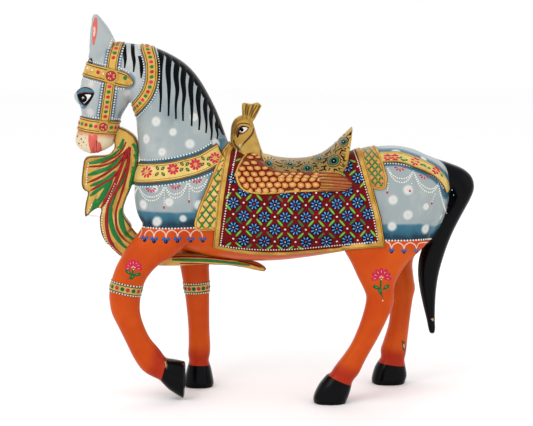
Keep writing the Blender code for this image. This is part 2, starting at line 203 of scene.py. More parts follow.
EYE = ((-199.6, 301.5, -199.6, 298, 12.5, 1.5), (-196.5, 306, -196, 292.5, 13, 4.5),
    (-190, 308.5, -189.5, 289.5, 14, 6.5), (-183, 306.5, -182.5, 292.5, 15, 5.5),
    (-178.5, 302, -178.5, 297, 15.5, 2))
EAR = ((-183.5, 332, -161.5, 334, 11, 6), (-185.5, 342, -161.2, 344, 12.5, 7),
    (-185.4, 353, -161, 354, 14, 7), (-184.8, 361, -164, 362, 14.5, 6), (-183.8, 369, -168, 370, 15, 5),
    (-182.4, 376, -172.6, 377, 15, 3.6), (-180.6, 381, -176.6, 381.5, 15, 2))
RAISED_LEG = ((-127, 192, -78, 178, -17, 21), (-132.5, 170, -84, 158, -22, 21),
    (-143, 156, -100, 143, -25, 18), (-151, 144, -115, 134, -27, 16),
    (-158, 131, -125.5, 123, -28, 14.5), (-162.8, 116, -131, 112, -28, 13.5),
    (-164.5, 103, -133.6, 100.5, -28, 13), (-162.4, 87, -134, 87, -28, 12),
    (-156, 73, -131, 75, -28, 11.5), (-148.4, 57, -124.6, 61, -28, 11),
    (-140.8, 41, -116, 50.5, -28, 11), (-131.5, 28, -110, 42, -28, 11.5),
    (-117.6, 20, -105, 37.5, -28, 10.5))
RAISED_HOOF = ((-115.5, 19.5, -110, 40.5, -28, 12), (-107, 10.5, -104.5, 40, -28, 14),
    (-99, 5, -97.5, 38.8, -28, 15), (-91, 0, -90, 37, -28, 15.5))
STANDING_LEG = ((-104, 185, -52, 185, 17, 21), (-103, 165, -58, 165, 23, 20),
    (-101, 145, -62, 145, 26, 17), (-98, 126, -67.5, 127, 28, 14), (-95.2, 110, -67.5, 110, 28, 12.5),
    (-92.2, 90, -67.8, 90, 28, 11.5), (-89.7, 62, -67.8, 62, 28, 11), (-89.5, 42, -67, 42, 28, 11.5),
    (-90, 33, -67.5, 33, 28, 12), (-88.5, 25, -69.5, 25, 28, 10.5), (-88.5, 18, -69.5, 18, 28, 10))
STANDING_HOOF = ((-88.5, 28, -69.5, 28, 28, 11), (-91, 19, -66.5, 19, 28, 13),
    (-93.5, 9, -64.5, 9, 28, 14.5), (-94.5, 3, -63.5, 3, 28, 15), (-94, 0, -64, 0, 28, 14.5))
NEAR_HIND_LEG = ((72, 205, 150, 200, -22, 24), (68, 185, 153, 180, -26, 24),
    (65, 163, 150, 160, -28, 22), (66, 150, 141, 149, -30, 20), (73, 137, 130, 139, -32, 18),
    (80, 122, 120, 125, -34, 15.5), (85.5, 111, 115, 112, -36, 13.5), (87.8, 102, 114.8, 99, -37, 12.5),
    (83.4, 83, 111, 88, -39, 11.5), (74.8, 61, 100.6, 66, -40, 11), (66.8, 48, 91.6, 50, -41, 11.2),
    (60, 39, 86.2, 40, -41.5, 11.6), (54.4, 31, 81, 29, -42, 12), (52, 24, 75.5, 22, -42, 10.8),
    (50, 17, 71, 16, -42, 10.5))
NEAR_HIND_HOOF = ((50, 28, 75, 23, -42, 11.5), (42, 18, 73.5, 15, -42, 14),
    (37.5, 9, 71.5, 8, -42, 15.3), (36, 3, 69.5, 3, -42, 16), (36.5, 0, 69, 0, -42, 15.5))
FAR_HIND_LEG = ((80, 205, 152, 200, 22, 24), (78, 185, 155, 180, 26, 24), (80, 163, 154, 162, 28, 22),
    (90, 145, 149, 148, 31, 20), (102, 126, 140, 130, 34, 16), (111, 111, 141, 111, 36, 13.5),
    (114.5, 99, 142.8, 100, 37.5, 12.5), (117, 86, 140.5, 88, 39, 11.5), (116.5, 65, 137.8, 66, 40, 11),
    (111.5, 46, 136, 48, 41, 11.3), (108, 34, 134.5, 32, 42, 12), (109.5, 25, 132.5, 23, 42, 10.8),
    (109, 17, 131, 16, 42, 10.5))
FAR_HIND_HOOF = ((109, 27, 133, 23, 42, 11.5), (103, 18, 134.5, 15, 42, 14),
    (100, 9, 135.5, 8, 42, 15.3), (99, 3, 134, 3, 42, 16), (99.5, 0, 133.5, 0, 42, 15.5))
TAIL = ((150, 212, 156, 237.5, 0, 11), (161, 208, 173, 232, 0, 12.5), (169, 205, 186, 226.5, 0, 13),
    (172, 200, 194.5, 218.5, 0, 13), (172, 195, 197, 208, 0, 13), (168, 188, 193.5, 197, 0, 12.5),
    (160, 177, 185, 181, 0, 12), (153, 165, 177.5, 166, 0, 11.5), (147, 151, 171.5, 151.5, 0, 11),
    (142.5, 135, 166.5, 136, 0, 10.5), (141.8, 120, 162.5, 120, 0, 10), (144, 104, 160.3, 104, 0, 9),
    (147.5, 88, 159.5, 88, 0, 7.5), (151, 74, 159.5, 74, 0, 6), (153, 64, 160, 64, 0, 4.5),
    (154.5, 59.5, 159, 59.5, 0, 2.5))
print("the trunk is", 2 * max(row[5] for row in TRUNK), "drawing units wide")

# %% [markdown]
# The saddle is a peacock: its head looks forward from the pommel, its folded wings lie on the cloth and its
# train sweeps up into the cantle. The sash is a thin fretted board in the horse's middle plane, which hangs
# from the jaw, passes the chest and runs back under the belly as a rounded ribbon.

# %% Draw the saddle and the sash
SEAT = ((-22, 240, -22, 170, 0, 28), (-12, 241.5, -12, 163, 0, 42), (0, 238.5, 0, 160, 0, 46),
    (14, 237, 12, 158, 0, 46), (28, 237.5, 24, 160, 0, 46), (40, 240, 34, 162, 0, 46),
    (49, 244.5, 42, 166, 0, 45.5), (59, 252.5, 49, 171, 0, 43.5), (69, 262.5, 55, 177, 0, 39),
    (76, 269.5, 60, 183, 0, 34))
BIRD = ((-36.5, 279.5, -30, 279.5, 0, 3), (-41.5, 276, -26, 276.5, 0, 7.5),
    (-44.5, 270, -22.5, 271, 0, 9.5), (-45.5, 261, -20, 262, 0, 10.5), (-45.5, 252, -17, 253, 0, 10),
    (-43.5, 246.5, -15, 247, 0, 10), (-40, 242, -13, 242, 0, 12), (-40, 234, -10, 236, 0, 16),
    (-39, 222, -2, 226, 0, 22))
RIBBON = ((-147, 172, -172, 158, 0, 6.5), (-140, 163, -162, 144, 0, 7),
    (-130, 153.5, -146, 133.5, 0, 8), (-116, 146, -124, 129.5, 0, 9), (-100, 142, -102, 129, 0, 10.5),
    (-82, 142, -82, 130, 0, 11), (-64, 141, -64, 130.5, 0, 11), (-46, 138, -47, 130, 0, 10),
    (-31, 135, -33, 127.5, 0, 9), (-20, 133, -22.5, 125, 0, 7.5), (-13, 129.5, -15, 123.5, 0, 5),
    (-9.5, 126, -11.5, 123, 0, 2.5))
BRIDGE = ((-150, 217, -150, 210, 0, 4), (-145, 217, -145, 210.4, 0, 4), (-138, 217.5, -138, 210, 0, 5),)
SASH_OUTLINE = ((-160, 262), (-157, 268.5), (-148, 265), (-141, 259.5), (-137.5, 252), (-137, 236),
    (-140.5, 219), (-144, 209), (-149.5, 196), (-152.5, 185), (-149.5, 177), (-144, 168), (-152, 160),
    (-165, 150), (-171.5, 157), (-174.5, 166), (-175, 178.5), (-173.5, 186), (-177, 187.5), (-183, 184),
    (-189, 178.5), (-189.8, 185), (-188.5, 194), (-186.5, 203.5), (-190.5, 205.5), (-193, 212.5),
    (-191.5, 229.5), (-190, 236), (-186, 239), (-169, 240), (-163, 244), (-160.3, 249), (-161, 255))
CREST_OUTLINE = ((-33.5, 270), (-34.2, 289.5), (-32, 292.5), (-25, 291.3), (-19, 292.8), (-15.5, 290.5),
    (-15.5, 287.5), (-24.5, 272))
SASH_THICKNESS = 14
CREST_THICKNESS = 7
print("the sash has", len(SASH_OUTLINE), "corners in its outline")

# %% [markdown]
# Two helpers make closed shapes from the drawing, and a third joins overlapping shapes into one skin. A
# voxel remesh is the right join here: the carver left no seams, and it gives an even net of small faces
# that holds fine carving. It softens edges by about a face, so it is followed by only a little smoothing.

# %% Turn the drawing into shapes
SECTION_SIDES = 56
SECTION_STEPS = 6


def loft(bm, rows, exponent=2.2, side=1):
    """Adds a closed tube through the cross-sections, which are superellipses. Side -1 mirrors it."""
    rows = np.array(rows, float)
    rows[:, 0], rows[:, 1] = true_place(rows[:, 0], rows[:, 1])
    rows[:, 2], rows[:, 3] = true_place(rows[:, 2], rows[:, 3])
    rows[:, 4:] *= UNIT
    angles = 2 * np.pi * np.arange(SECTION_SIDES) / SECTION_SIDES
    along = np.sign(np.cos(angles)) * np.abs(np.cos(angles)) ** (2 / exponent)
    across = np.sign(np.sin(angles)) * np.abs(np.sin(angles)) ** (2 / exponent)
    rings = []
    for x1, z1, x2, z2, y, half_width in curve_through(rows, SECTION_STEPS):
        xs = (x1 + x2) / 2 + along * (x1 - x2) / 2
        zs = (z1 + z2) / 2 + along * (z1 - z2) / 2
        ys = side * (y + across * half_width)
        rings.append([bm.verts.new(point) for point in zip(xs, ys, zs)])
    for ring, following in zip(rings, rings[1:]):
        for i in range(SECTION_SIDES):
            j = (i + 1) % SECTION_SIDES
            bm.faces.new((ring[i], ring[j], following[j], following[i]))
    bm.faces.new(rings[0][::-1])
    bm.faces.new(rings[-1])


def board(bm, outline, thickness):
    """Adds an upright board in the middle plane, cut to the outline."""
    edge = drawn_curve(tuple(outline) + (outline[0],), 3)[:-1]
    half = thickness * UNIT / 2
    sides = [[bm.verts.new((x, y, z)) for x, z in edge] for y in (-half, half)]
    bm.faces.new(sides[0])
    bm.faces.new(sides[1][::-1])
    for i in range(len(edge)):
        j = (i + 1) % len(edge)
        bm.faces.new((sides[0][j], sides[0][i], sides[1][i], sides[1][j]))


def new_object(name, mesh):
    """Links a new object to the scene."""
    made = bpy.data.objects.new(name, mesh)
    bpy.context.scene.collection.objects.link(made)
    return made


def shaped_object(name, bm):
    """Turns the shapes into a new object, with every face looking outwards."""
    bmesh.ops.recalc_face_normals(bm, faces=bm.faces)
    mesh = bpy.data.meshes.new(name)
    bm.to_mesh(mesh)
    bm.free()
    mesh.shade_smooth()
    return new_object(name, mesh)


def carved_skin(name, bm, grain, rounds):
    """One smooth closed skin around all the shapes, with faces of about the grain."""
    made = shaped_object(name, bm)
    remesh = made.modifiers.new("one skin", "REMESH")
    remesh.mode = "VOXEL"
    remesh.voxel_size = grain
    soften = made.modifiers.new("soften", "SMOOTH")
    soften.factor = 0.5
    soften.iterations = rounds
    evaluated = made.evaluated_get(bpy.context.evaluated_depsgraph_get())
    mesh = bpy.data.meshes.new_from_object(evaluated)
    made.modifiers.clear()
    made.data = mesh
    made.data.shade_smooth()
    print(name, "has", len(mesh.polygons), "faces")
    return made


def places(ob, wanted="co"):
    """The mesh's points as an array, or what else is wanted of them."""
    values = np.empty(3 * len(ob.data.vertices))
    ob.data.vertices.foreach_get(wanted, values)
    return values.reshape(-1, 3)


def directions(ob):
    """The mesh's normals as an array."""
    return places(ob, "normal")


def move_points(ob, points):
    """Puts the mesh's points at new places."""
    ob.data.vertices.foreach_set("co", points.ravel())
    ob.data.update()


def surface_of(*objects):
    """A search tree over the faces of the objects, for finding what lies under the brush."""
    points, faces = [], []
    for ob in objects:
        first = len(points)
        points.extend(map(tuple, places(ob)))
        faces.extend([first + i for i in p.vertices] for p in ob.data.polygons)
    return BVHTree.FromPolygons(points, faces)


def side_distance(x, z, ax, az, dx, dz):
    """How far each point is from the straight line that runs from a by d."""
    t = np.clip(((x - ax) * dx + (z - az) * dz) / (dx * dx + dz * dz), 0, 1)
    return np.hypot(x - ax - t * dx, z - az - t * dz)


def path_distance(x, z, path):
    """How far each point is from a path of the side drawing, in metres."""
    path = drawn_curve(path, 4)
    sides = zip(path, np.diff(path, axis=0))
    return np.minimum.reduce([side_distance(x, z, *start, *way) for start, way in sides])


def inside_distance(x, z, outline):
    """How deep each point is inside an outline of the side drawing, in metres, negative outside it."""
    ends = np.array(tuple(outline) + (outline[0],), float)
    ends = np.column_stack(true_place(ends[:, 0], ends[:, 1]))
    edge = np.full(len(x), np.inf)
    inside = np.zeros(len(x), bool)
    for (ax, az), (bx, bz) in zip(ends, ends[1:]):
        dx, dz = bx - ax, bz - az
        edge = np.minimum(edge, side_distance(x, z, ax, az, dx, dz))
        crosses = (az > z) != (bz > z)
        inside ^= crosses & (x < ax + (z - az) * dx / (dz if dz else 1e-9))
    return np.where(inside, edge, -edge)


def loft_tree(shapes, shift=0.0):
    """A search tree of some lofts, moved sideways by the shift."""
    bm = bmesh.new()
    for rows in shapes:
        loft(bm, rows)
    for v in bm.verts:
        v.co.y -= shift
    bmesh.ops.recalc_face_normals(bm, faces=bm.faces)
    tree = BVHTree.FromBMesh(bm)
    bm.free()
    return tree


def keep_faces(ob, wanted):
    """Deletes the faces whose points aren't all wanted."""
    bm = bmesh.new()
    bm.from_mesh(ob.data)
    bm.verts.ensure_lookup_table()
    bmesh.ops.delete(bm, geom=[v for v in bm.verts if not wanted[v.index]], context="VERTS")
    bm.to_mesh(ob.data)
    bm.free()


# %% [markdown]
# The body and the head are carved at two scales: the eye, lips and ears need finer faces than the flank.
# Both skins come from the same neck, so they run into each other without a step, and the cut between them
# lies under the collar.

# %% Carve the body and the head
BODY_GRAIN = 1.6 * MM
HEAD_GRAIN = 0.9 * MM
COLLAR = ((-129.5, 360), (-128.3, 349.5), (-124, 338), (-122.2, 328.5), (-122.4, 316), (-125.5, 305),
    (-132, 295), (-139, 287.5))
HEAD_SIDE = COLLAR + ((-145, 283), (-147, 270), (-147, 225), (-240, 225), (-240, 400), (-132, 400))
OVERLAP = 3 * MM
SOLE_TRIM = 0.7 * MM
FAR_EAR_DROP = 5

body_shapes = bmesh.new()
for rows in (TRUNK, NECK, RAISED_LEG, STANDING_LEG, NEAR_HIND_LEG, FAR_HIND_LEG, TAIL):
    loft(body_shapes, rows)
for rows in (RAISED_HOOF, STANDING_HOOF, NEAR_HIND_HOOF, FAR_HIND_HOOF):
    loft(body_shapes, rows, exponent=2.4)
body = carved_skin("painted_body", body_shapes, BODY_GRAIN, 7)

head_shapes = bmesh.new()
loft(head_shapes, HEAD)
loft(head_shapes, NECK[3:])
far_ear = tuple((x1 + 1, z1 - FAR_EAR_DROP, x2 + 1, z2 - FAR_EAR_DROP, y, w) for x1, z1, x2, z2, y, w in EAR)
for side in (-1, 1):
    loft(head_shapes, EYE, side=side)
    loft(head_shapes, EAR if side < 0 else far_ear, side=side)
head = carved_skin("painted_head", head_shapes, HEAD_GRAIN, 7)

points = places(body)
points[points[:, 2] < SOLE_TRIM, 2] = 0
move_points(body, points)
body_surface = surface_of(body)
all_body_places = points.copy()
all_body_faces = [tuple(p.vertices) for p in body.data.polygons]
print("the body's skin has", len(points), "points")

# %% [markdown]
# The finer carving of the head is done as a sculptor does it in clay, by pushing the skin in or out along
# its own normal where a tool would have cut: the hollow of each ear, the slit of the mouth between two full
# lips, the nostrils and the fold over the eye.

# %% Carve the ears, lips and nostrils
EAR_HOLLOW = 3.4 * MM
MOUTH_LINE = ((-178.5, 254), (-179, 249), (-180.5, 243), (-181, 240))
MOUTH_DEPTH = 1.1 * MM
LIP_SWELL = 1.0 * MM
NOSTRIL = (-193.5, 252.5)
NOSTRIL_DEPTH = 1.3 * MM
LID_LINE = ((-197.5, 300.5), (-194, 302.5), (-188, 302.8), (-181.5, 301.2))


def bump(distance, width):
    """1 on the line, and almost 0 beyond twice the width."""
    return np.exp(-((distance / width) ** 2))


points = places(head)
facing = directions(head)
x, y, z = points.T
outward = np.sign(y)
ear_low, ear_high = true_place(-180, 344)[1], true_place(-180, 376)[1]
in_ear = ramp(z, ear_low - 4 * MM, ear_low + 6 * MM) * (1 - ramp(z, ear_high - 4 * MM, ear_high))
scoop_way = np.clip(facing[:, 0] * -0.86 + facing[:, 1] * outward * 0.5, 0, 1)
ear_scoop = in_ear * ramp(scoop_way, 0.45, 0.95)
mouth = path_distance(x, z, MOUTH_LINE)
nostril_x, nostril_z = true_place(*NOSTRIL)
nostril = np.hypot((x - nostril_x) / 1.3, z - nostril_z)
on_side = ramp(np.abs(y), 4 * MM, 8 * MM)
depth = EAR_HOLLOW * ear_scoop
depth += MOUTH_DEPTH * bump(mouth, 0.9 * MM) * on_side
depth -= LIP_SWELL * (bump(mouth - 3.2 * MM, 2.2 * MM)) * on_side
depth += NOSTRIL_DEPTH * bump(nostril, 2.0 * MM) * on_side
depth -= 0.5 * MM * bump(path_distance(x, z, LID_LINE), 1.3 * MM) * on_side
move_points(head, points - facing * depth[:, None])
neck_and_head = surface_of(body, head)
head_surface = surface_of(head)

keep_faces(head, inside_distance(points[:, 0], points[:, 2], HEAD_SIDE) > -OVERLAP)
body_places = places(body)
keep_faces(body, inside_distance(body_places[:, 0], body_places[:, 2], HEAD_SIDE) < OVERLAP)
print("head faces kept:", len(head.data.polygons), "body faces kept:", len(body.data.polygons))

# %% [markdown]
# The sash's pleats fan out from its knot under the jaw, and lower down they run with its edge. They are
# waves across the board, a little over a millimetre deep.

# %% Carve the sash
SASH_GRAIN = 0.9 * MM
SASH_KNOT = (-146, 254)
FAN_FOOT = 206
FAN_PLEATS = 26
STEM_PLEAT = 8.5 * MM
PLEAT_DEPTH = 1.5 * MM
STEM_FOOT = 172
STEM_TOP = 184


def wave(value, width):
    """Ridges of the given width, from 0 in the grooves to 1 on the crests."""
    return 0.5 + 0.5 * np.cos(2 * np.pi * value / width)


sash_shapes = bmesh.new()
board(sash_shapes, SASH_OUTLINE, SASH_THICKNESS)
loft(sash_shapes, RIBBON)
loft(sash_shapes, BRIDGE)
sash = carved_skin("carved_sash", sash_shapes, SASH_GRAIN, 5)
points = places(sash)
x, y, z = points.T
knot_x, knot_z = true_place(*SASH_KNOT)
fan_foot = true_place(0, FAN_FOOT)[1]
sash_depth = inside_distance(x, z, SASH_OUTLINE)
fan = wave(np.arctan2(z - knot_z, x - knot_x), 2 * np.pi / FAN_PLEATS)
from_knot = np.hypot(x - knot_x, z - knot_z)
fan *= ramp(from_knot, 6 * MM, 16 * MM)
stem = wave(sash_depth, STEM_PLEAT) * ramp(z, STEM_FOOT * UNIT, STEM_TOP * UNIT)
pleats = fan * ramp(z, fan_foot - 8 * MM, fan_foot) + stem * (1 - ramp(z, fan_foot - 8 * MM, fan_foot))
pleats *= ramp(sash_depth, 0, 3 * MM) * ramp(np.abs(y), 3 * MM, 5 * MM)
move_points(sash, points - directions(sash) * (PLEAT_DEPTH * pleats)[:, None])
sash_surface = surface_of(sash)
print("pleats are pressed into", int((pleats > 0.1).sum()), "points of the sash")

# %% [markdown]
# The saddle is one more skin. Its wings are left off here, because they are laid on later as overlapping
# scales.

# %% Carve the peacock saddle
SADDLE_GRAIN = 0.8 * MM
CREST_ROOT = (-29, 255)
CREST_FEATHERS = 36
FLUTES_FROM = 274
FLUTES_FULL = 278
FLUTE_DEPTH = 1.1 * MM
saddle_shapes = bmesh.new()
loft(saddle_shapes, SEAT)
loft(saddle_shapes, BIRD)
board(saddle_shapes, CREST_OUTLINE, CREST_THICKNESS)
saddle = carved_skin("peacock_saddle", saddle_shapes, SADDLE_GRAIN, 5)
points = places(saddle)
x, y, z = points.T
root_x, root_z = true_place(*CREST_ROOT)
flutes = wave(np.arctan2(z - root_z, x - root_x), 2 * np.pi / CREST_FEATHERS)
facing = directions(saddle)
flutes *= ramp(z, true_place(0, FLUTES_FROM)[1], true_place(0, FLUTES_FULL)[1])
flutes *= ramp(np.abs(facing[:, 1]), 0.3, 0.7)
move_points(saddle, points - facing * (FLUTE_DEPTH * flutes)[:, None])
print("flutes are pressed into", int((flutes > 0.1).sum()), "points of the crest")

# %% [markdown]
# The bridle, collar, breast band and crupper are carved as raised bands with a rim along each edge. A band
# is laid like tape. Lines beside its drawn path are found on the horse by looking at it straight from each
# side, and they are carried round the front or the top at y = 0. A profile then lifts the middle and the
# rims.

# %% Lay bands on the horse
STRAP_RELIEF = 1.3 * MM
BAND_COUNT = 90
LOOK_FROM = 0.2
WRAP_LOOK = 12 * MM
WRAP_STEPS = 8
PROFILE_HALF = ((1.0, -0.9), (1.0, 0.5), (0.95, 0.82), (0.88, 0.98), (0.78, 1.0), (0.69, 0.78), (0.62, 0.72))
PROFILE = (
    tuple((-t, lift) for t, lift in PROFILE_HALF)
    + ((-0.3, 0.74), (0, 0.76), (0.3, 0.74))
    + tuple(reversed(PROFILE_HALF))
)


def side_hit(surface, x, z, side):
    """Where the surface is first met when looking sideways from the near (-1) or far (1) side."""
    return surface.ray_cast(Vector((x, side * LOOK_FROM, z)), Vector((0, -side, 0)))[0]


def end_wrap(surface, last, way):
    """The points that carry a line from its last side hit round to the middle plane."""
    found = []
    for y in np.linspace(last.y, 0, WRAP_STEPS)[1:]:
        start = Vector((last.x, y, last.z)) + WRAP_LOOK * way
        hit = surface.ray_cast(start, -way)[0]
        if hit is not None:
            found.append(hit)
    if found:
        found[-1].y = 0
    return found


def laid_line(path, t, surface, wraps):
    """The line at t half widths beside the path, on both sides; wraps says which ends go round the horse."""
    path = np.array(path, float)
    path = np.column_stack([*true_place(path[:, 0], path[:, 1]), path[:, 2] * UNIT])
    path, _ = spaced(curve_through(path, 10), 0.5 * MM)
    ways = np.gradient(path[:, :2], axis=0)
    ways /= np.linalg.norm(ways, axis=1)[:, None]
    beside = path[:, :2] + np.column_stack([-ways[:, 1], ways[:, 0]]) * (t * path[:, 2])[:, None]
    halves = []
    for side in (-1, 1):
        hits = [side_hit(surface, x, z, side) for x, z in beside]
        solid = [i for i, hit in enumerate(hits) if hit is not None]
        first = last = min(solid, key=lambda i: abs(i - len(hits) // 2))
        while first > 0 and hits[first - 1] is not None:
            first -= 1
        while last < len(hits) - 1 and hits[last + 1] is not None:
            last += 1
        run = hits[first:last + 1]
        if wraps[0]:
            way = Vector((-ways[first, 0], 0, -ways[first, 1]))
            run = end_wrap(surface, run[0], way)[::-1] + run
        if wraps[1]:
            way = Vector((ways[last, 0], 0, ways[last, 1]))
            run = run + end_wrap(surface, run[-1], way)
        _, length = spaced(run, 1)
        halves.append(spaced(run, length / (BAND_COUNT - 1))[0])
    near, far = halves
    if wraps[0]:
        joined = np.vstack([near[::-1], far[1:]])
        return [joined[:-1] if wraps[1] else joined]
    if wraps[1]:
        return [np.vstack([near, far[::-1][1:]])]
    return [near, far]


def settle(surface, points):
    """The points moved onto the surface, and the surface's directions there, evened out along the row."""
    found = [surface.find_nearest(Vector(p))[:2] for p in points]
    normals = np.array([tuple(normal) for _, normal in found])
    spread = normals.copy()
    spread[1:-1] = normals[:-2] + normals[1:-1] * 2 + normals[2:]
    spread /= np.linalg.norm(spread, axis=1)[:, None]
    return np.array([tuple(place) for place, _ in found]), spread


def mark(ob, name, values):
    """Writes one number for each point of the mesh, for its material to read."""
    layer = ob.data.attributes.new(name, "FLOAT", "POINT")
    layer.data.foreach_set("value", np.asarray(values, np.float32))


def grid_object(name, columns, closed, maps, capped=True):
    """A mesh from equally long rows of points; maps give u and v for each row and point."""
    bm = bmesh.new()
    uv = bm.loops.layers.uv.new("pattern")
    made = [[bm.verts.new(p) for p in column] for column in columns]
    count = len(made[0])
    where = {v: maps(r, i) for r, row in enumerate(made) for i, v in enumerate(row)}
    for a, b in zip(made, made[1:]):
        for i in range(count if closed else count - 1):
            j = (i + 1) % count
            face = bm.faces.new((a[i], a[j], b[j], b[i]))
            for loop in face.loops:
                u, v = where[loop.vert]
                if closed and j == 0 and loop.vert in (a[0], b[0]):
                    u = maps(0, count)[0]
                loop[uv].uv = (u, v)
    if capped and not closed:
        for end in (0, -1):
            bm.faces.new([row[end] for row in made])
    return shaped_object(name, bm)


def band(name, path, surface, wraps, relief=STRAP_RELIEF):
    """A raised band along the path, as one object or as one a side."""
    lines = [laid_line(path, t, surface, wraps) for t, _ in PROFILE]
    made = []
    for part in range(len(lines[0])):
        rows = []
        for (t, lift), line in zip(PROFILE, lines):
            settled, normals = settle(surface, line[part])
            rows.append(settled + normals * lift * relief)
        middle = rows[len(rows) // 2]
        steps = np.linalg.norm(np.diff(middle, axis=0), axis=1)
        along = np.concatenate([[0], np.cumsum(steps), [steps.sum() + steps.mean()]]) / CM
        across = [(t + 1) / 2 for t, _ in PROFILE]
        ring = wraps[0] and wraps[1]
        suffix = "" if len(lines[0]) == 1 else ("_near", "_far")[part]
        made.append(grid_object(name + suffix, rows, ring, lambda r, i: (along[i], across[r])))
    return made


BROWBAND = ((-206, 330, 7), (-193, 327.5, 7), (-176.5, 323.5, 7), (-162, 320, 7.4), (-154, 317.5, 7.6),
    (-147.5, 315.5, 6.6), (-142.5, 314, 3.6), (-140, 313.3, 0.4))
NOSEBAND = ((-206, 274, 6.7), (-197, 273, 6.7), (-182.5, 270.5, 6.7), (-170.5, 269.3, 6.7),
    (-155, 268, 6.7), (-146, 267, 6.7))
CHEEK_STRAP = ((-155.4, 357, 4.6), (-156.6, 351, 4.8), (-160, 338, 5.0), (-162, 320, 5.0),
    (-165.5, 298, 5.0), (-168.6, 280, 5.0), (-170.5, 269.3, 5.0))
COLLAR_PATH = tuple((x, z, 5.8) for x, z in COLLAR[:7]) + ((-141.5, 285, 5.8), (-148.5, 278.5, 5.8))
BREAST_BAND = ((-152, 223, 9.6), (-140, 223.5, 9.6), (-117, 225.5, 9.6), (-94.5, 229, 9.6),
    (-72, 235.5, 9.6), (-54, 245.5, 9.6))
CRUPPER = ((101, 240, 4.8), (120, 240, 4.8), (135, 235.4, 4.8), (148.4, 229.6, 4.6), (158, 223, 4.2),
    (165, 214, 3.6), (168, 206, 2.8))
cheek_strap = band("cheek_strap", CHEEK_STRAP, head_surface, (True, False))
browband = band("browband", BROWBAND, head_surface, (True, False), 1.25 * STRAP_RELIEF)
noseband = band("noseband", NOSEBAND, head_surface, (True, True), 1.25 * STRAP_RELIEF)
collar = band("collar", COLLAR_PATH, body_surface, (True, True))
breast_band = band("breast_band", BREAST_BAND, body_surface, (True, False))
crupper = band("crupper", CRUPPER, body_surface, (False, False))
print("the collar is made of", len(collar[0].data.polygons), "faces")

# %% [markdown]
# Each foreleg has a band round its knee. It must wrap only its own leg, so the leg's loft is drawn again
# alone, in the middle plane, as the surface to lay it on.

# %% Lay the knee bands
NEAR_KNEE_BAND = ((-170, 116.2, 5.4), (-162, 114.6, 5.4), (-131.5, 108, 5.4), (-122, 106.1, 5.4))
FAR_KNEE_BAND = ((-104, 101, 5.6), (-94, 101.6, 5.6), (-69, 103.4, 5.6), (-59, 104, 5.6))
knee_bands = []
for name, path, rows in (("near_knee_band", NEAR_KNEE_BAND, RAISED_LEG),
                         ("far_knee_band", FAR_KNEE_BAND, STANDING_LEG)):
    shift = np.mean([row[4] for row in rows[4:9]]) * UNIT
    made = band(name, path, loft_tree([rows], shift), (True, True), 0.4 * MM)[0]
    points = places(made)
    points[:, 1] += shift
    move_points(made, points)
    knee_bands.append(made)
print("knee bands laid:", len(knee_bands))

# %% [markdown]
# The saddle cloth hangs over the back from flank to flank, with two narrower flaps under it. Looking from
# the side would stretch it over the back, so these are laid by looking in at the trunk from all round an
# axis that runs along it. Each column of the cloth keeps its place between the front and the rear edge.

# %% Lay the saddle cloth and its flaps
GIRTH_Z = 190 * UNIT
BACK_Z = 250 * UNIT
HANGS_FREE_BELOW = 186 * UNIT
GIRTH_LOOK = 0.12
GIRTH_STEPS = 110
GIRTH_END = -1.2
EDGE_ROUNDS = 8
CLOTH_RELIEF = 2.0 * MM
FLAP_RELIEF = 1.4 * MM


def edge_reader(points, by):
    """A function that reads an edge of the drawing: x by height, or height by x."""
    points = np.array(points, float)
    x, z = true_place(points[:, 0], points[:, 1])
    known, read = (z, x) if by == "z" else (x, z)
    order = np.argsort(known)
    return lambda value: np.interp(value, known[order], read[order])


def eased(grid, across, along):
    """The grid of points evened out so many rounds across its columns and along them."""
    grid = grid.copy()
    for _ in range(across):
        grid[1:-1] = (grid[:-2] + 2 * grid[1:-1] + grid[2:]) / 4
    for _ in range(along):
        grid[:, 1:-1] = (grid[:, :-2] + 2 * grid[:, 1:-1] + grid[:, 2:]) / 4
    return grid


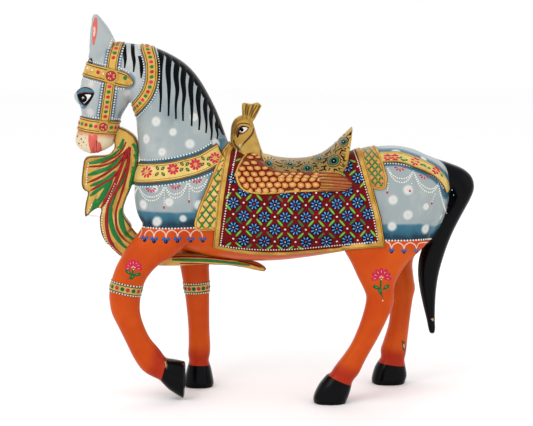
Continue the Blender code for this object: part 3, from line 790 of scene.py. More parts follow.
def blanket(name, front, rear, bottom, surface, relief, columns, rows, border, easing=30):
    """A cloth laid over the back, between edges of the drawing, thicker along its border."""
    front, rear = edge_reader(front, "z"), edge_reader(rear, "z")
    bottom = edge_reader(bottom, "x")
    top = math.pi / 2

    def girth_hit(x, angle):
        way = Vector((0, -math.cos(angle), math.sin(angle)))
        return surface.ray_cast(Vector((x, 0, GIRTH_Z)) + way * GIRTH_LOOK, -way)[0]

    def column_hit(share, angle, x):
        for _ in range(EDGE_ROUNDS):
            hit = girth_hit(x, angle)
            x = (x + front(hit.z) * (1 - share) + rear(hit.z) * share) / 2
        return girth_hit(x, angle)

    shares = np.linspace(0, 1, columns)
    lines = []
    for share in shares:
        half = []
        for angle in np.linspace(top, GIRTH_END, GIRTH_STEPS):
            near_x = half[0].x if half else front(BACK_Z) * (1 - share) + rear(BACK_Z) * share
            hit = column_hit(share, angle, near_x)
            half.insert(0, hit)
            if hit.z < bottom(hit.x):
                over = half[1].z - bottom(half[1].x)
                under = bottom(hit.x) - hit.z
                half[0] = half[1].lerp(hit, over / (over + under))
                break
        half[-1].y = 0
        mirrored = [Vector((p.x, -p.y, p.z)) for p in half[-2::-1]]
        line = half + mirrored
        _, length = spaced(line, 1)
        lines.append((spaced(line, length / (rows - 1))[0], length))
    bases = [settle(surface, line) for line, _ in lines]
    smooth = eased(np.array([settled for settled, _ in bases]), easing, easing // 4)
    for c, (settled, normals) in enumerate(bases):
        over = np.einsum("ij,ij->i", smooth[c] - settled, normals)
        over = np.clip(over, 0, None) * (1 - ramp(settled[:, 2], HANGS_FREE_BELOW,
                                                  HANGS_FREE_BELOW + 16 * MM))
        bases[c] = (settled + normals * over[:, None], normals)
    hung = np.array([settled for settled, _ in bases])
    free = 1 - ramp(hung[..., 2], HANGS_FREE_BELOW - 16 * MM, HANGS_FREE_BELOW)
    hung += (eased(hung, 2 * easing // 5, 4) - hung) * free[..., None]
    for c, (settled, normals) in enumerate(bases):
        for r in np.flatnonzero(free[c] > 0):
            place, normal = surface.find_nearest(Vector(hung[c, r]))[:2]
            if (Vector(hung[c, r]) - place).dot(normal) < 0:
                hung[c, r] = place
    hung = eased(hung, 2, 1)
    bases = [(line, normals) for line, (_, normals) in zip(hung, bases)]
    made = []
    widths = [np.linalg.norm(a[0] - b[0], axis=1) for a, b in zip(bases, bases[1:])]
    widths = np.concatenate([[np.zeros(rows)], np.cumsum(widths, axis=0)])
    edges = [np.zeros(rows)]
    for c, ((settled, normals), (_, length)) in enumerate(zip(bases, lines)):
        down = np.linspace(0, length, rows)
        edge = np.minimum.reduce([widths[c], widths[-1] - widths[c], down, length - down])
        edges.append(edge)
        rim = ramp(edge, 0, 1.2 * MM)
        rise = 0.35 + 0.5 * rim + 0.35 * (1 - ramp(edge, border, border + 1.0 * MM)) * rim
        made.append(settled + normals * (relief * rise)[:, None])
    skirt_front = bases[0][0] - bases[0][1] * MM
    skirt_rear = bases[-1][0] - bases[-1][1] * MM
    grid = [skirt_front, *made, skirt_rear]
    for row in grid:
        row[0] = surface.find_nearest(Vector(row[0]))[0] - Vector((0, -1, 0)) * MM
        row[-1] = surface.find_nearest(Vector(row[-1]))[0] - Vector((0, 1, 0)) * MM
    shares = [0, *shares, 1]
    made = grid_object(name, grid, False, lambda r, i: (shares[r], i / (rows - 1)), False)
    mark(made, "edge", np.concatenate([*edges, np.zeros(rows)]) / CM)
    return made


def carved_skin_part(ob, top):
    """A search tree of the body together with the part of a skin that is below the top."""
    heights = places(ob)[:, 2]
    points = [tuple(p) for p in places(ob)]
    faces = [tuple(p.vertices) for p in ob.data.polygons if max(heights[i] for i in p.vertices) < top]
    count = len(points)
    points.extend(map(tuple, all_body_places))
    faces.extend(tuple(count + i for i in corners) for corners in all_body_faces)
    return BVHTree.FromPolygons(points, faces)


front_flap = blanket(
    "front_flap",
    ((-30, 262), (-47, 254), (-53, 248), (-66, 216), (-76, 192), (-80, 178), (-79, 169)),
    ((-22, 262), (-40, 254), (-47, 248), (-54, 200), (-56, 165)),
    ((-82, 173), (-78.5, 170), (-73, 169), (-56, 170)),
    body_surface, FLAP_RELIEF, 24, 220, 2.2 * MM,
)
rear_flap = blanket(
    "rear_flap",
    ((78, 300), (79, 246), (88, 211)),
    ((96, 300), (98, 252), (103.5, 238), (107.5, 222), (106.5, 214), (103.5, 209)),
    ((82, 213), (92, 211), (100, 209.5), (106.5, 212)),
    body_surface, FLAP_RELIEF, 24, 160, 2.2 * MM,
)
under_wing = carved_skin_part(saddle, true_place(0, 217)[1])
saddle_cloth = blanket(
    "saddle_cloth",
    ((-28, 262), (-45, 254), (-50.5, 247), (-57, 200), (-62.5, 150)),
    ((84, 300), (84.4, 247), (92.6, 215), (101.5, 182), (105.5, 152)),
    ((-64, 152.5), (-40, 147.6), (-20, 145.6), (5, 145), (28, 146.8), (62, 151), (107, 154.6)),
    under_wing, CLOTH_RELIEF, 120, 260, 6.3 * MM, 400,
)
print("the saddle cloth is made of", len(saddle_cloth.data.polygons), "faces")

# %% [markdown]
# The bird's folded wings are two cushions on the cloth, one a side. They are laid with enough fall at the
# edges to look stuffed, and they carry the scales later.

# %% Lay the wings
WING_RELIEF = 4.2 * MM
WING_LOWER = ((-40.6, 222), (-40, 217.5), (-38, 213.5), (-34, 209.9), (-23.5, 205.6), (-7, 205.7),
    (13.5, 207.9), (35, 208.3), (65, 208.9), (72, 211), (74, 214.5))
WING_UPPER = ((-40.6, 223), (-39.5, 228), (-38, 231), (-35, 238), (-29, 243.6), (-22, 244.8),
    (-17, 241.5), (-13.8, 235.6), (-7, 230.3), (5, 227), (39, 226.6), (61, 226), (69, 221.5),
    (73, 217.5), (74, 215.5))
WING_OUTLINE = WING_LOWER + tuple(reversed(WING_UPPER))
WING_COLUMNS = 96
WING_ROWS = 30
cloth_and_seat = surface_of(saddle_cloth, saddle, body)


def wing(name, side):
    """One folded wing, laid on the cloth and the seat."""
    lower, upper = edge_reader(WING_LOWER, "x"), edge_reader(WING_UPPER, "x")
    ends = true_place(np.array([-40.6, 74.0]), np.array([222.0, 215.0]))[0]
    columns = []
    for c in np.linspace(0, 1, WING_COLUMNS):
        share = 0.5 - 0.5 * math.cos(math.pi * c)
        x = ends[0] + (ends[1] - ends[0]) * share
        low, high = lower(x), upper(x)
        shares = 0.5 - 0.5 * np.cos(np.pi * np.linspace(0, 1, WING_ROWS))
        hits = [side_hit(cloth_and_seat, x, low + (high - low) * s, side) for s in shares]
        settled, normals = settle(cloth_and_seat, hits)
        columns.append((settled, normals))
    made = []
    depths = []
    laid = np.array([settled for settled, _ in columns])
    smooth = eased(laid, 30, 12)
    smooth[..., 1] = side * np.maximum(side * smooth[..., 1], side * laid[..., 1])
    smooth = eased(smooth, 6, 3)
    ways = eased(np.array([normals for _, normals in columns]), 30, 12)
    for settled, normals in zip(smooth, ways):
        deep = np.clip(inside_distance(settled[:, 0], settled[:, 2], WING_OUTLINE), 0, None)
        lift = WING_RELIEF * np.clip(deep / (7 * MM), 0, 1) ** 0.5
        made.append(settled + normals * (lift - 0.5 * MM)[:, None])
        depths.append(deep)
    made = grid_object(name, made, False, lambda r, i: (r / WING_COLUMNS, i / WING_ROWS), False)
    if side * sum(face.normal.y for face in made.data.polygons) < 0:
        made.data.flip_normals()
    mark(made, "edge", np.concatenate(depths) / CM)
    return made


wings = [wing("near_wing", -1), wing("far_wing", 1)]
wing_surface = surface_of(*wings)
print("wings laid:", len(wings))

# %% [markdown]
# Round rosettes cover the crossings of the bridle: a flat disc with a raised ring and a domed middle,
# turned about its own axis like a button.

# %% Set the rosettes
ROSETTE_PROFILE = ((1.0, -0.6), (1.0, 0.55), (0.94, 0.8), (0.82, 0.85), (0.74, 0.62), (0.6, 0.75),
    (0.35, 1.0), (0.1, 1.08))
ROSETTE_RELIEF = 2.3 * MM
ROSETTE_SIDES = 40
ROSETTES = ((-162, 320, 7.2), (-170.5, 269.3, 6.0))
rosette_places = []


def rosette(name, x, z, radius, side):
    """A turned button on the side of the head, with its ring read by the v of its map."""
    x, z = true_place(x, z)
    hit, normal = head_surface.ray_cast(Vector((x, side * LOOK_FROM, z)), Vector((0, -side, 0)))[:2]
    right = normal.cross(Vector((0, 0, 1))).normalized()
    up = right.cross(normal)
    rosette_places.append((hit, normal, right, up, radius * UNIT))
    rings = []
    for share, lift in ROSETTE_PROFILE:
        ring = []
        for i in range(ROSETTE_SIDES):
            angle = 2 * math.pi * i / ROSETTE_SIDES
            offset = (right * math.cos(angle) + up * math.sin(angle)) * radius * UNIT * share
            ring.append(tuple(hit + offset + normal * lift * ROSETTE_RELIEF))
        rings.append(np.array(ring))
    made = grid_object(name, rings, True, lambda r, i: (i / ROSETTE_SIDES, ROSETTE_PROFILE[r][0]))
    bm = bmesh.new()
    bm.from_mesh(made.data)
    bmesh.ops.holes_fill(bm, edges=[e for e in bm.edges if e.is_boundary], sides=ROSETTE_SIDES)
    bmesh.ops.recalc_face_normals(bm, faces=bm.faces)
    bm.to_mesh(made.data)
    bm.free()
    return made


rosettes = [
    rosette(f"rosette_{'near' if side < 0 else 'far'}_{i}", x, z, radius, side)
    for i, (x, z, radius) in enumerate(ROSETTES)
    for side in (-1, 1)
]
print("rosettes set:", len(rosettes))

# %% [markdown]
# Hand painting on carved wood isn't flat: enamel stands up in dots, petals and lines, and catches the
# light. So each mark here is a small mesh on the surface. All marks of one colour gather in a pot, and a
# pot becomes one object. A mark is put where the painter's finger points in the picture, and then again on
# the far side.

# %% Mix the pots of paint
POT_COLOURS = {"white": (238, 236, 226), "cream": (236, 214, 172), "red": (196, 28, 36),
    "magenta": (222, 28, 84), "dark_red": (118, 12, 20), "coral": (222, 98, 84), "green": (26, 118, 48),
    "light_green": (96, 190, 66), "sky_blue": (62, 154, 224), "deep_blue": (22, 84, 150),
    "navy": (14, 26, 66), "black": (6, 7, 10), "gold": (214, 170, 78), "brown": (92, 52, 18),
    "teal": (8, 104, 84), "steel_blue": (72, 118, 136), "pale_pink": (240, 196, 182),
    "pale_blue": (206, 222, 232), "bare_wood": (196, 156, 116), "night": (28, 16, 40),
    "crimson": (202, 20, 66), "leaf_green": (18, 88, 36), "copper": (176, 92, 40),
    "lacquer": (152, 16, 18)}


class Pot:
    """One colour of paint and every mark made with it."""

    def __init__(self, name):
        self.name = name
        self.points = []
        self.faces = []

    def add(self, points, faces):
        first = len(self.points)
        self.points.extend(map(tuple, points))
        self.faces.extend([first + i for i in face] for face in faces)


pots = {name: Pot(name) for name in POT_COLOURS}


def tell(what):
    """Prints what has just been painted, and how much paint there is by now."""
    print(what, "done, faces of paint so far:", sum(len(pot.faces) for pot in pots.values()))


def point_at(surface, px, py):
    """Where the painter's finger meets the surface, and the surface's direction there."""
    return surface.ray_cast(CAMERA_PLACE, picture_ray(px, py))[:2]


def mirrored_place(surface, place):
    """The same place on the far side of the horse, and the direction there."""
    return surface.find_nearest(Vector((place[0], -place[1], place[2])))[:2]


def around(px, py, wide, high, angle):
    """A place of the picture on an oval round another place; the angle is in degrees."""
    turn = math.radians(angle)
    return px + wide * math.cos(turn), py - high * math.sin(turn)


DOME = ((1.0, -0.4), (0.87, 0.5), (0.52, 0.9))
DAB_SIDES = 8


def dab(pot, place, normal, way, length, width, height, taper=0.0):
    """One drop of paint: an oval dome, narrower towards its start by the taper."""
    way = (way - normal * way.dot(normal)).normalized()
    across = normal.cross(way)
    points = [place + normal * height]
    for share, lift in reversed(DOME):
        for i in range(DAB_SIDES):
            angle = 2 * math.pi * i / DAB_SIDES
            along = math.cos(angle) * length / 2 * share
            side = math.sin(angle) * width / 2 * share * (1 + taper * math.cos(angle))
            points.append(place + way * along + across * side + normal * lift * height)
    faces = [(0, 1 + i, 1 + (i + 1) % DAB_SIDES) for i in range(DAB_SIDES)]
    for ring in range(len(DOME) - 1):
        for i in range(DAB_SIDES):
            a = 1 + ring * DAB_SIDES + i
            b = 1 + ring * DAB_SIDES + (i + 1) % DAB_SIDES
            faces.append((a, a + DAB_SIDES, b + DAB_SIDES, b))
    pots[pot].add(points, faces)


BEAD_HEIGHT = 0.5 * MM
BEAD_WAY = Vector((1, 0, 0.01))


def both_sides(surface, px, py, far):
    """The places under the finger, and their directions: the near one and, if far is true, the far one."""
    near = point_at(surface, px, py)
    if near[0] is None:
        return []
    return [near, mirrored_place(surface, near[0])] if far else [near]


def bead(pot, surface, px, py, size, height=BEAD_HEIGHT, far=True):
    """A round dot at a place of the picture, and on the far side; size is in millimetres."""
    for place, normal in both_sides(surface, px, py, far):
        dab(pot, place, normal, BEAD_WAY, size * MM, size * MM, height)


def leaf(pot, surface, px, py, angle, length, width, taper=0.35, height=0.28 * MM, far=True):
    """An oval stroke whose end points at the angle, counted from the right, upwards; sizes in millimetres."""
    turn = math.radians(angle)
    way = Vector((math.cos(turn), 0, math.sin(turn)))
    for place, normal in both_sides(surface, px, py, far):
        dab(pot, place, normal, way, length * MM, width * MM, height, taper)


def flower(petal_pot, heart_pot, surface, px, py, radius, petals, petal, start=90):
    """A ring of petals round a heart; radius and petal sizes are in millimetres."""
    for i in range(petals):
        angle = start + 360 * i / petals
        leaf(petal_pot, surface, *around(px, py, radius, radius, angle), angle, *petal)
    bead(heart_pot, surface, px, py, petal[1] * 1.1, 0.6 * MM)


def trace(surface, pixels, gap=1.0):
    """A line drawn through places of the picture, as points on the near side, so many millimetres apart."""
    found = [point_at(surface, px, py)[0] for px, py in curve_through(pixels, 12)]
    found = [place for place in found if place is not None]
    return spaced(found, gap * MM)[0] if len(found) > 1 else None


def mirrored_line(surface, line):
    """The same line on the far side."""
    return np.array([tuple(mirrored_place(surface, place)[0]) for place in line])


BRUSH = ((-1, -0.5), (-0.78, 0.6), (0, 1), (0.78, 0.6), (1, -0.5))


def brush_line(pot, surface, line, width, height=0.25, start=1.0, end=0.2, full=0.3):
    """One brush line along points on the surface; start and end are the shares of its width at its ends."""
    settled, normals = settle(surface, line)
    ways = np.gradient(settled, axis=0)
    ways /= np.linalg.norm(ways, axis=1)[:, None] + 1e-12
    across = np.cross(normals, ways)
    s = np.linspace(0, 1, len(settled))
    share = np.minimum(start + (1 - start) * ramp(s, 0, full), end + (1 - end) * ramp(1 - s, 0, full))
    points = []
    for place, normal, side, part in zip(settled, normals, across, share):
        for beside, lift in BRUSH:
            at = place + side * beside * width * MM / 2 * part
            if width > 2.2:
                at = np.array(tuple(surface.find_nearest(Vector(at))[0]))
            points.append(at + normal * lift * height * MM * (0.4 + 0.6 * part))
    count = len(BRUSH)
    faces = []
    for i in range(len(settled) - 1):
        for k in range(count - 1):
            a = i * count + k
            faces.append((a, a + 1, a + count + 1, a + count))
    pots[pot].add(points, faces)


def stroke(pot, surface, pixels, width, height=0.25, start=1.0, end=0.2, full=0.3, far=True):
    """A brush line through places of the picture, and on the far side; width and height in millimetres."""
    line = trace(surface, pixels, 0.6 if width < 1.2 else 0.9)
    if line is None:
        return
    brush_line(pot, surface, line, width, height, start, end, full)
    if far:
        brush_line(pot, surface, mirrored_line(surface, line), width, height, start, end, full)


def bead_line(pot, surface, line, spacing, size, closed=False):
    """Dots at even distances along points on the surface; spacing and size in millimetres."""
    if closed:
        line = np.vstack([line, line[:1]])
    at, _ = spaced(line, spacing * MM)
    for place in at[:-1] if closed else at:
        place, normal = surface.find_nearest(Vector(place))[:2]
        dab(pot, place, normal, BEAD_WAY, size * MM, size * MM, BEAD_HEIGHT)


def bead_trace(pot, surface, pixels, spacing, size):
    """Dots along a line through places of the picture, and on the far side."""
    line = trace(surface, pixels)
    if line is not None:
        bead_line(pot, surface, line, spacing, size)
        bead_line(pot, surface, mirrored_line(surface, line), spacing, size)


def patch(pot, surface, pixels, lift=0.22, grain=0.9, round_steps=4, far=True):
    """A filled shape of thick paint inside an outline in the picture; lift in millimetres."""
    edge = np.array(pixels)
    if round_steps > 1:
        edge = curve_through(tuple(pixels) + (pixels[0],), round_steps)[:-1]
    low, high = edge.min(axis=0), edge.max(axis=0)
    inner = [
        (px, py)
        for px in np.arange(low[0] + grain / 2, high[0], grain)
        for py in np.arange(low[1] + grain / 2, high[1], grain)
    ]
    flat = [Vector(p) for p in edge] + [Vector(p) for p in inner]
    count = len(edge)
    made, _, faces, *_ = delaunay_2d_cdt(flat, [], [list(range(count))], 1, 0.01)
    used = sorted({i for face in faces for i in face})
    hits = {i: point_at(surface, *made[i]) for i in used}
    used = [i for i in used if hits[i][0] is not None]
    order = {i: k for k, i in enumerate(used)}
    faces = [[order[i] for i in face] for face in faces if all(i in order for i in face)]
    sides = {}
    for face in faces:
        for a, b in zip(face, face[1:] + face[:1]):
            sides[(a, b)] = sides.get((a, b), 0) + 1
    rim = [(a, b) for a, b in sides if (b, a) not in sides]
    for side in (-1, 1) if far else (-1,):
        places_here = [hits[i] if side < 0 else mirrored_place(surface, hits[i][0]) for i in used]
        top = [place + normal * lift * MM for place, normal in places_here]
        foot = [place - normal * lift * MM for place, normal in places_here]
        walls = [(b, a, a + len(top), b + len(top)) for a, b in rim]
        pots[pot].add(top + foot, faces + walls)


OVAL_CORNERS = 10


def ring_outline(px, py, width, height, angle=0.0):
    """An oval outline in the picture."""
    turn = math.radians(angle)
    outline = []
    for i in range(OVAL_CORNERS):
        a = 2 * math.pi * i / OVAL_CORNERS
        dx, dy = width / 2 * math.cos(a), height / 2 * math.sin(a)
        outline.append((px + dx * math.cos(turn) - dy * math.sin(turn),
                        py + dx * math.sin(turn) + dy * math.cos(turn)))
    return tuple(outline)


print("pots mixed:", len(pots))

# %% [markdown]
# The bridle and the collar carry rows of raised dots: red and green jewels down the middle, and white
# pearls along both edges. They follow the lines of the bands, so the same line finder lays them all the way
# round.

# %% Dot the bridle and the collar
dressed_head = surface_of(head, *browband, *noseband, *cheek_strap, *rosettes)
PEARL = 1.9
PEARL_GAP = 2.7
JEWEL = 4.3
JEWEL_GAP = 4.9
ROSETTE_PETALS = 9


def pearls(path, t, surface, lay_on, wraps, gap=PEARL_GAP, size=PEARL):
    """A row of dots beside a band's path, all the way round."""
    for line in laid_line(path, t, lay_on, wraps):
        bead_line("white", surface, line, gap, size, wraps == (True, True))


def jewels(path, bands, lay_on, wraps):
    """Red and green drops in turn along the middle of a band."""
    surface = surface_of(*bands)
    for line in laid_line(path, 0, lay_on, wraps):
        at, _ = spaced(line, JEWEL_GAP * MM)
        for i, place in enumerate(at):
            place, normal = surface.find_nearest(Vector(place))[:2]
            pot = ("red", "green", "magenta", "green")[i % 4]
            dab(pot, place, normal, Vector((1, 0, 0.3)), JEWEL * MM, JEWEL * 0.86 * MM, BEAD_HEIGHT)


for t in (-1.28, 1.28):
    pearls(BROWBAND[:6], t, dressed_head, head_surface, (True, False))
    pearls(CHEEK_STRAP[:6], 1.05 * t, dressed_head, head_surface, (True, False))
    pearls(COLLAR_PATH, t, neck_and_head, body_surface, (True, True), 2.6, 1.7)
pearls(NOSEBAND, 1.25, dressed_head, head_surface, (True, True))
jewels(CHEEK_STRAP[:3], cheek_strap, head_surface, (True, False))
jewels(CHEEK_STRAP[3:6], cheek_strap, head_surface, (False, False))
jewels(COLLAR_PATH, collar, body_surface, (True, True))
jewels(NOSEBAND, noseband, head_surface, (True, True))
for hit, normal, right, up, radius in rosette_places:
    for i in range(ROSETTE_PETALS):
        turn = 2 * math.pi * i / ROSETTE_PETALS
        way = right * math.cos(turn) + up * math.sin(turn)
        place = hit + way * radius * 0.4 + normal * 0.95 * ROSETTE_RELIEF
        dab("pale_pink" if i % 3 else "red", place, normal, way, 0.34 * radius, 0.13 * radius, 0.3 * MM)
    dab("dark_red", hit + normal * 1.04 * ROSETTE_RELIEF, normal, right, 0.28 * radius, 0.28 * radius,
        0.35 * MM)
for px, py, pot in ((87.5, 68, "white"), (92, 70, "white"), (98, 72.3, "red"), (103.5, 73.7, "white"),
                    (125, 78, "green")):
    bead(pot, dressed_head, px, py, 2.5 if pot == "white" else 4.3, 0.6 * MM)
tell("the bridle and the collar")

# %% [markdown]
# The face is painted, not carved: a dark lid line with the point of the eye drawn back, a white and a black
# iris with one highlight, red lips and a few dots for nostrils and whiskers. The order matters, as on the
# real horse: each colour lies on the one before. The forelock falls down the middle of the forehead, where
# the picture's own rays can't reach, so level rays from the front lay it there.

# %% Paint the face
patch("steel_blue", head_surface, ((76.6, 92), (80.5, 88.2), (86, 87.6), (92, 89.6), (94.5, 92.5),
                                   (93.2, 96.5), (90, 102), (86, 107.5), (82.8, 108.6), (79.8, 104.5),
                                   (77.6, 98)), 0.15)
patch("black", head_surface, ((77.2, 95), (80, 93), (86, 92.4), (93.6, 92.8), (93, 96.5), (90, 101.5),
                              (85.5, 105.5), (82, 103.5), (79.2, 100)), 0.28)
patch("white", head_surface, ((80.6, 97.6), (82, 95.4), (85, 94.6), (88.6, 94.4), (91.2, 95.2), (89.6, 97.8),
                              (87, 100.8), (84.6, 102.8), (82, 101.4)), 0.42)
patch("black", head_surface, ring_outline(83.4, 98.4, 7.6, 8.0), 0.55, 0.9, 1)
bead("white", dressed_head, 83.2, 98.0, 2.9, 0.95 * MM)
bead("black", dressed_head, 83.3, 98.2, 2.0, 1.25 * MM)
bead("white", dressed_head, 82.8, 97.6, 0.9, 1.5 * MM)
stroke("dark_red", head_surface, ((79.4, 93.6), (84, 92.6), (89, 92.8), (93.6, 94)), 0.9, 0.7)
stroke("black", head_surface, ((76.8, 92.6), (80.2, 88.8), (85.5, 87.4), (91.6, 89.3), (94.6, 92.6)),
       1.0, 0.45)
stroke("coral", head_surface, ((83.4, 102.6), (85.2, 103.8)), 1.2, 0.6)
patch("coral", head_surface, ((88.8, 134.4), (92.5, 136), (96.2, 134.6), (97.4, 139), (96.4, 147),
                              (96, 153.4), (92, 153.6), (89.4, 147), (88.4, 140)), 0.3)
patch("coral", head_surface, ((97.2, 141.4), (100, 143), (101.3, 147), (102.2, 151), (101.6, 153.4),
                              (97.4, 153.9), (96.6, 149)), 0.3)
stroke("dark_red", head_surface, ((96.7, 140), (96.4, 147), (96.5, 153.5)), 0.8, 0.5)
stroke("dark_red", head_surface, ((97.6, 153.3), (100, 153.4), (102, 152.3)), 1.0, 0.4)
stroke("coral", head_surface, ((112.8, 140.8), (115, 138.4), (116.4, 137.4)), 2.2, 0.2)
for px, py, size in ((77.4, 136.3, 2.4), (81.2, 139, 1.8), (83.4, 142.2, 1.5), (79, 143.6, 1.7),
                     (86.3, 145, 1.0), (85.3, 138, 1.0), (81.6, 134.4, 1.1)):
    bead("black", head_surface, px, py, size, 0.3 * MM)
bead("red", head_surface, 81.5, 145.6, 1.4, 0.3 * MM)
patch("coral", head_surface, ((92.6, 44), (92.4, 36), (92.8, 26), (94.4, 18.4), (96.4, 17.6), (97.4, 22),
                              (97, 32), (95.4, 40), (94, 45)), 0.12)
patch("pale_pink", head_surface, ((93.2, 36), (93.2, 29), (94.6, 26.6), (95.6, 30), (94.8, 36)), 0.22)


def front_line(surface, ys, zs):
    """Where level lines of sight from the front meet a surface; ys and zs are in millimetres."""
    hits = [surface.ray_cast(Vector((-1, y * MM, z * MM)), Vector((1, 0, 0)))[0] for y, z in zip(ys, zs)]
    return np.array([tuple(hit) for hit in hits if hit is not None])


FORELOCK = ((-15, 336, 322), (-12.4, 338, 317), (-9.6, 340, 318), (-6.4, 344, 316), (-3.2, 346, 313),
    (0, 346, 311), (3.2, 346, 314), (6.4, 344, 315), (9.6, 340, 319), (12.4, 338, 317), (15, 336, 323))
for y, top, bottom in FORELOCK:
    drop = np.linspace(0, 1, 12)
    hair = front_line(head_surface, y * (1 - 0.25 * drop) + 0.8 * np.sin(5 * drop + y),
                      top + (bottom - top) * drop)
    brush_line("black", head_surface, hair, 3.6, 0.5, 0.8, 0.2, 0.5)
tell("the face")

# %% [markdown]
# Mane and forelock are single strokes of a round brush, full at the root and lifted off at the tip. On the
# crest they start from one black line and hang over the grey coat.

# %% Paint the mane
MANE_TIPS = ((160, 112), (168.5, 116), (176, 119), (183, 121), (191.6, 126), (199, 130), (206, 133),
    (211, 140), (217, 139))
MANE_ROOTS = ((161.5, 51.5), (169.5, 55.5), (177.5, 61), (184.5, 67), (192, 76), (199.5, 88),
    (206.5, 98.5), (212.5, 109), (218, 121))
neck_surface = surface_of(body)
for (root_px, root_py), (tip_px, tip_py) in zip(MANE_ROOTS, MANE_TIPS):
    reach = tip_py - root_py
    sway = 1.0 * math.sin(root_px)
    path = (
        (root_px, root_py),
        (0.8 * root_px + 0.2 * tip_px - 1.2, root_py + 0.25 * reach),
        (0.5 * root_px + 0.5 * tip_px + sway * 0.6, root_py + 0.5 * reach),
        (0.25 * root_px + 0.75 * tip_px - sway * 0.5, root_py + 0.75 * reach),
        (tip_px, tip_py),
    )
    stroke("black", neck_surface, path, 6.8, 0.45, 1, 0.3, 0.9)
for path in (((124.4, 43.6), (124.6, 52), (125.2, 60), (124.6, 68)),
             ((132.6, 44.2), (133, 54), (134.2, 62), (133.6, 72)),
             ((139.8, 56), (141.6, 66), (141.2, 78))):
    stroke("black", dressed_head, path, 4.2, 0.4, 1, 0.4, 0.4)
tell("the mane")

# %% [markdown]
# The breast band has red flowers with green leaves between them, on a pale gold ground. Below it hang
# painted garlands of pearls, each sagging between two pegs, with a drop at every peg.

# %% Paint the breast band and its garlands
band_surface = surface_of(*breast_band)
BAND_FLOWERS = ((146.6, 172), (173, 169), (195.5, 164.5), (215, 158))
BAND_LEAVES = ((160, 171.4), (184.5, 167), (205.6, 161.6))
CHEST_PEGS = ((138.6, 187), (165, 186), (188, 182), (208, 178))
CHEST_SAGS = (10.5, 10, 8)
CHEST_SPRAYS = ((151, 190), (175.5, 187), (196.7, 181))


def garland(surface, start, end, sag, spacing=2.3, size=1.75, double=3.8):
    """Two rows of pearls that sag between two pegs of the picture."""
    for extra in (0, double):
        path = []
        for share in np.linspace(0, 1, 9):
            fall = 1 - abs(2 * share - 1) ** 2.5
            px = start[0] + (end[0] - start[0]) * share
            py = start[1] + (end[1] - start[1]) * share + (sag + extra) * fall
            path.append((px, py))
        bead_trace("white", surface, path, spacing, size)


def spray(surface, px, py, spread=4.4):
    """Five small red petals that hang like a tassel."""
    for angle in (-165, -128, -90, -52, -15):
        petal_px, petal_py = around(px, py, spread * 0.85, spread * 0.7, angle)
        leaf("crimson", surface, petal_px, petal_py - 2, angle, 3.8, 1.7, 0.4)


for px, py in BAND_FLOWERS:
    flower("crimson", "gold", band_surface, px, py, 3.8, 9, (4.8, 2.7))
for px, py in BAND_LEAVES:
    for angle in (48, 128, 222, 318):
        at = around(px, py, 4.2, 4, angle)
        leaf("leaf_green", band_surface, *at, angle, 5.2, 3.3, 0.1)
        leaf("gold", band_surface, *at, angle, 2.4, 1.1, 0.1, 0.5 * MM)
for t, gap in ((-1.3, 3.0), (1.3, 3.0)):
    pearls(BREAST_BAND[:5] + ((-58, 243, 9.6),), t, neck_surface, body_surface, (True, False), gap, 1.9)
for start, end, sag in zip(CHEST_PEGS, CHEST_PEGS[1:], CHEST_SAGS):
    garland(neck_surface, start, end, sag)
peg = point_at(neck_surface, *CHEST_PEGS[0])[0] / MM
t = np.linspace(-1, 1, 40)
for sag in (10, 14):
    bead_line("white", neck_surface, front_line(neck_surface, t * peg.y,
                                                peg.z - sag * (1 - np.abs(t) ** 2.5)), 2.3, 1.75)
for px, py, length in ((164.4, 188, 17), (189.5, 184, 15)):
    bead_trace("white", neck_surface, ((px, py), (px - 0.4, py + length)), 2.5, 1.5)
    leaf("red", neck_surface, px - 0.5, py + length + 2.4, -90, 3.2, 2.1)
for px, py in CHEST_SPRAYS:
    spray(neck_surface, px, py)
tell("the breast band")

# %% [markdown]
# Where the grey coat meets the orange, the painter hid the seam under a row of white dots, and hung a lace
# of small arches with blue drops from it. The same lace runs round the chest and the haunches.

# %% Paint the lace over the seam
CHEST_SEAM = ((136.5, 225.5), (146, 227.5), (160, 228.5), (176, 228.5), (190, 228), (197, 227.5))
CHEST_FEET = ((144.6, 237), (154, 238.2), (166, 238.6), (177.6, 238), (190.5, 238), (202.6, 238))
RUMP_SEAM = ((386, 240.5), (396, 240.6), (408, 240.4), (420, 239.8), (431, 238.8))
RUMP_FEET = ((391.5, 249.5), (404, 250), (416.5, 249.6))


def lace(surface, feet, seam_y, drop_size):
    """Small painted arches between feet, and drops of blue paint under each foot."""
    for (ax, ay), (bx, by) in zip(feet, feet[1:]):
        top = seam_y + 2.2
        middle = (ax + bx) / 2
        path = ((ax, ay - 1), (ax + 0.12 * (bx - ax), top + 2.4), (middle, top),
                (bx - 0.12 * (bx - ax), top + 2.4), (bx, by - 1))
        stroke("pale_pink", surface, path, 1.25, 0.25, 0.8, 0.8, 0.1)
    for px, py in feet:
        for dx, dy, pot in ((-0.54, 0.14, "deep_blue"), (0.54, 0.14, "deep_blue"), (0, 0.75, "navy")):
            dx *= drop_size
            dy *= drop_size
            bead(pot, surface, px + dx, py + dy, drop_size)
            bead("sky_blue", surface, px + dx - 0.4, py + dy - 0.5, 1.2, 0.75 * MM)


bead_trace("white", neck_surface, CHEST_SEAM[1:], 3.1, 2.0)
bead_trace("white", neck_surface, RUMP_SEAM, 3.0, 2.0)
lace(neck_surface, CHEST_FEET, 228, 4.2)
lace(neck_surface, RUMP_FEET, 240.4, 3.2)
for path in (((386, 241.6), (389.6, 243.6), (391.5, 248)),
             ((416.5, 248.6), (418.4, 244), (422.6, 242.6), (428, 242.6))):
    stroke("pale_pink", neck_surface, path, 1.25, 0.25, 0.8, 0.8, 0.1)
FRONT_ARCHES = 5
corner = point_at(neck_surface, *CHEST_SEAM[1])[0] / MM


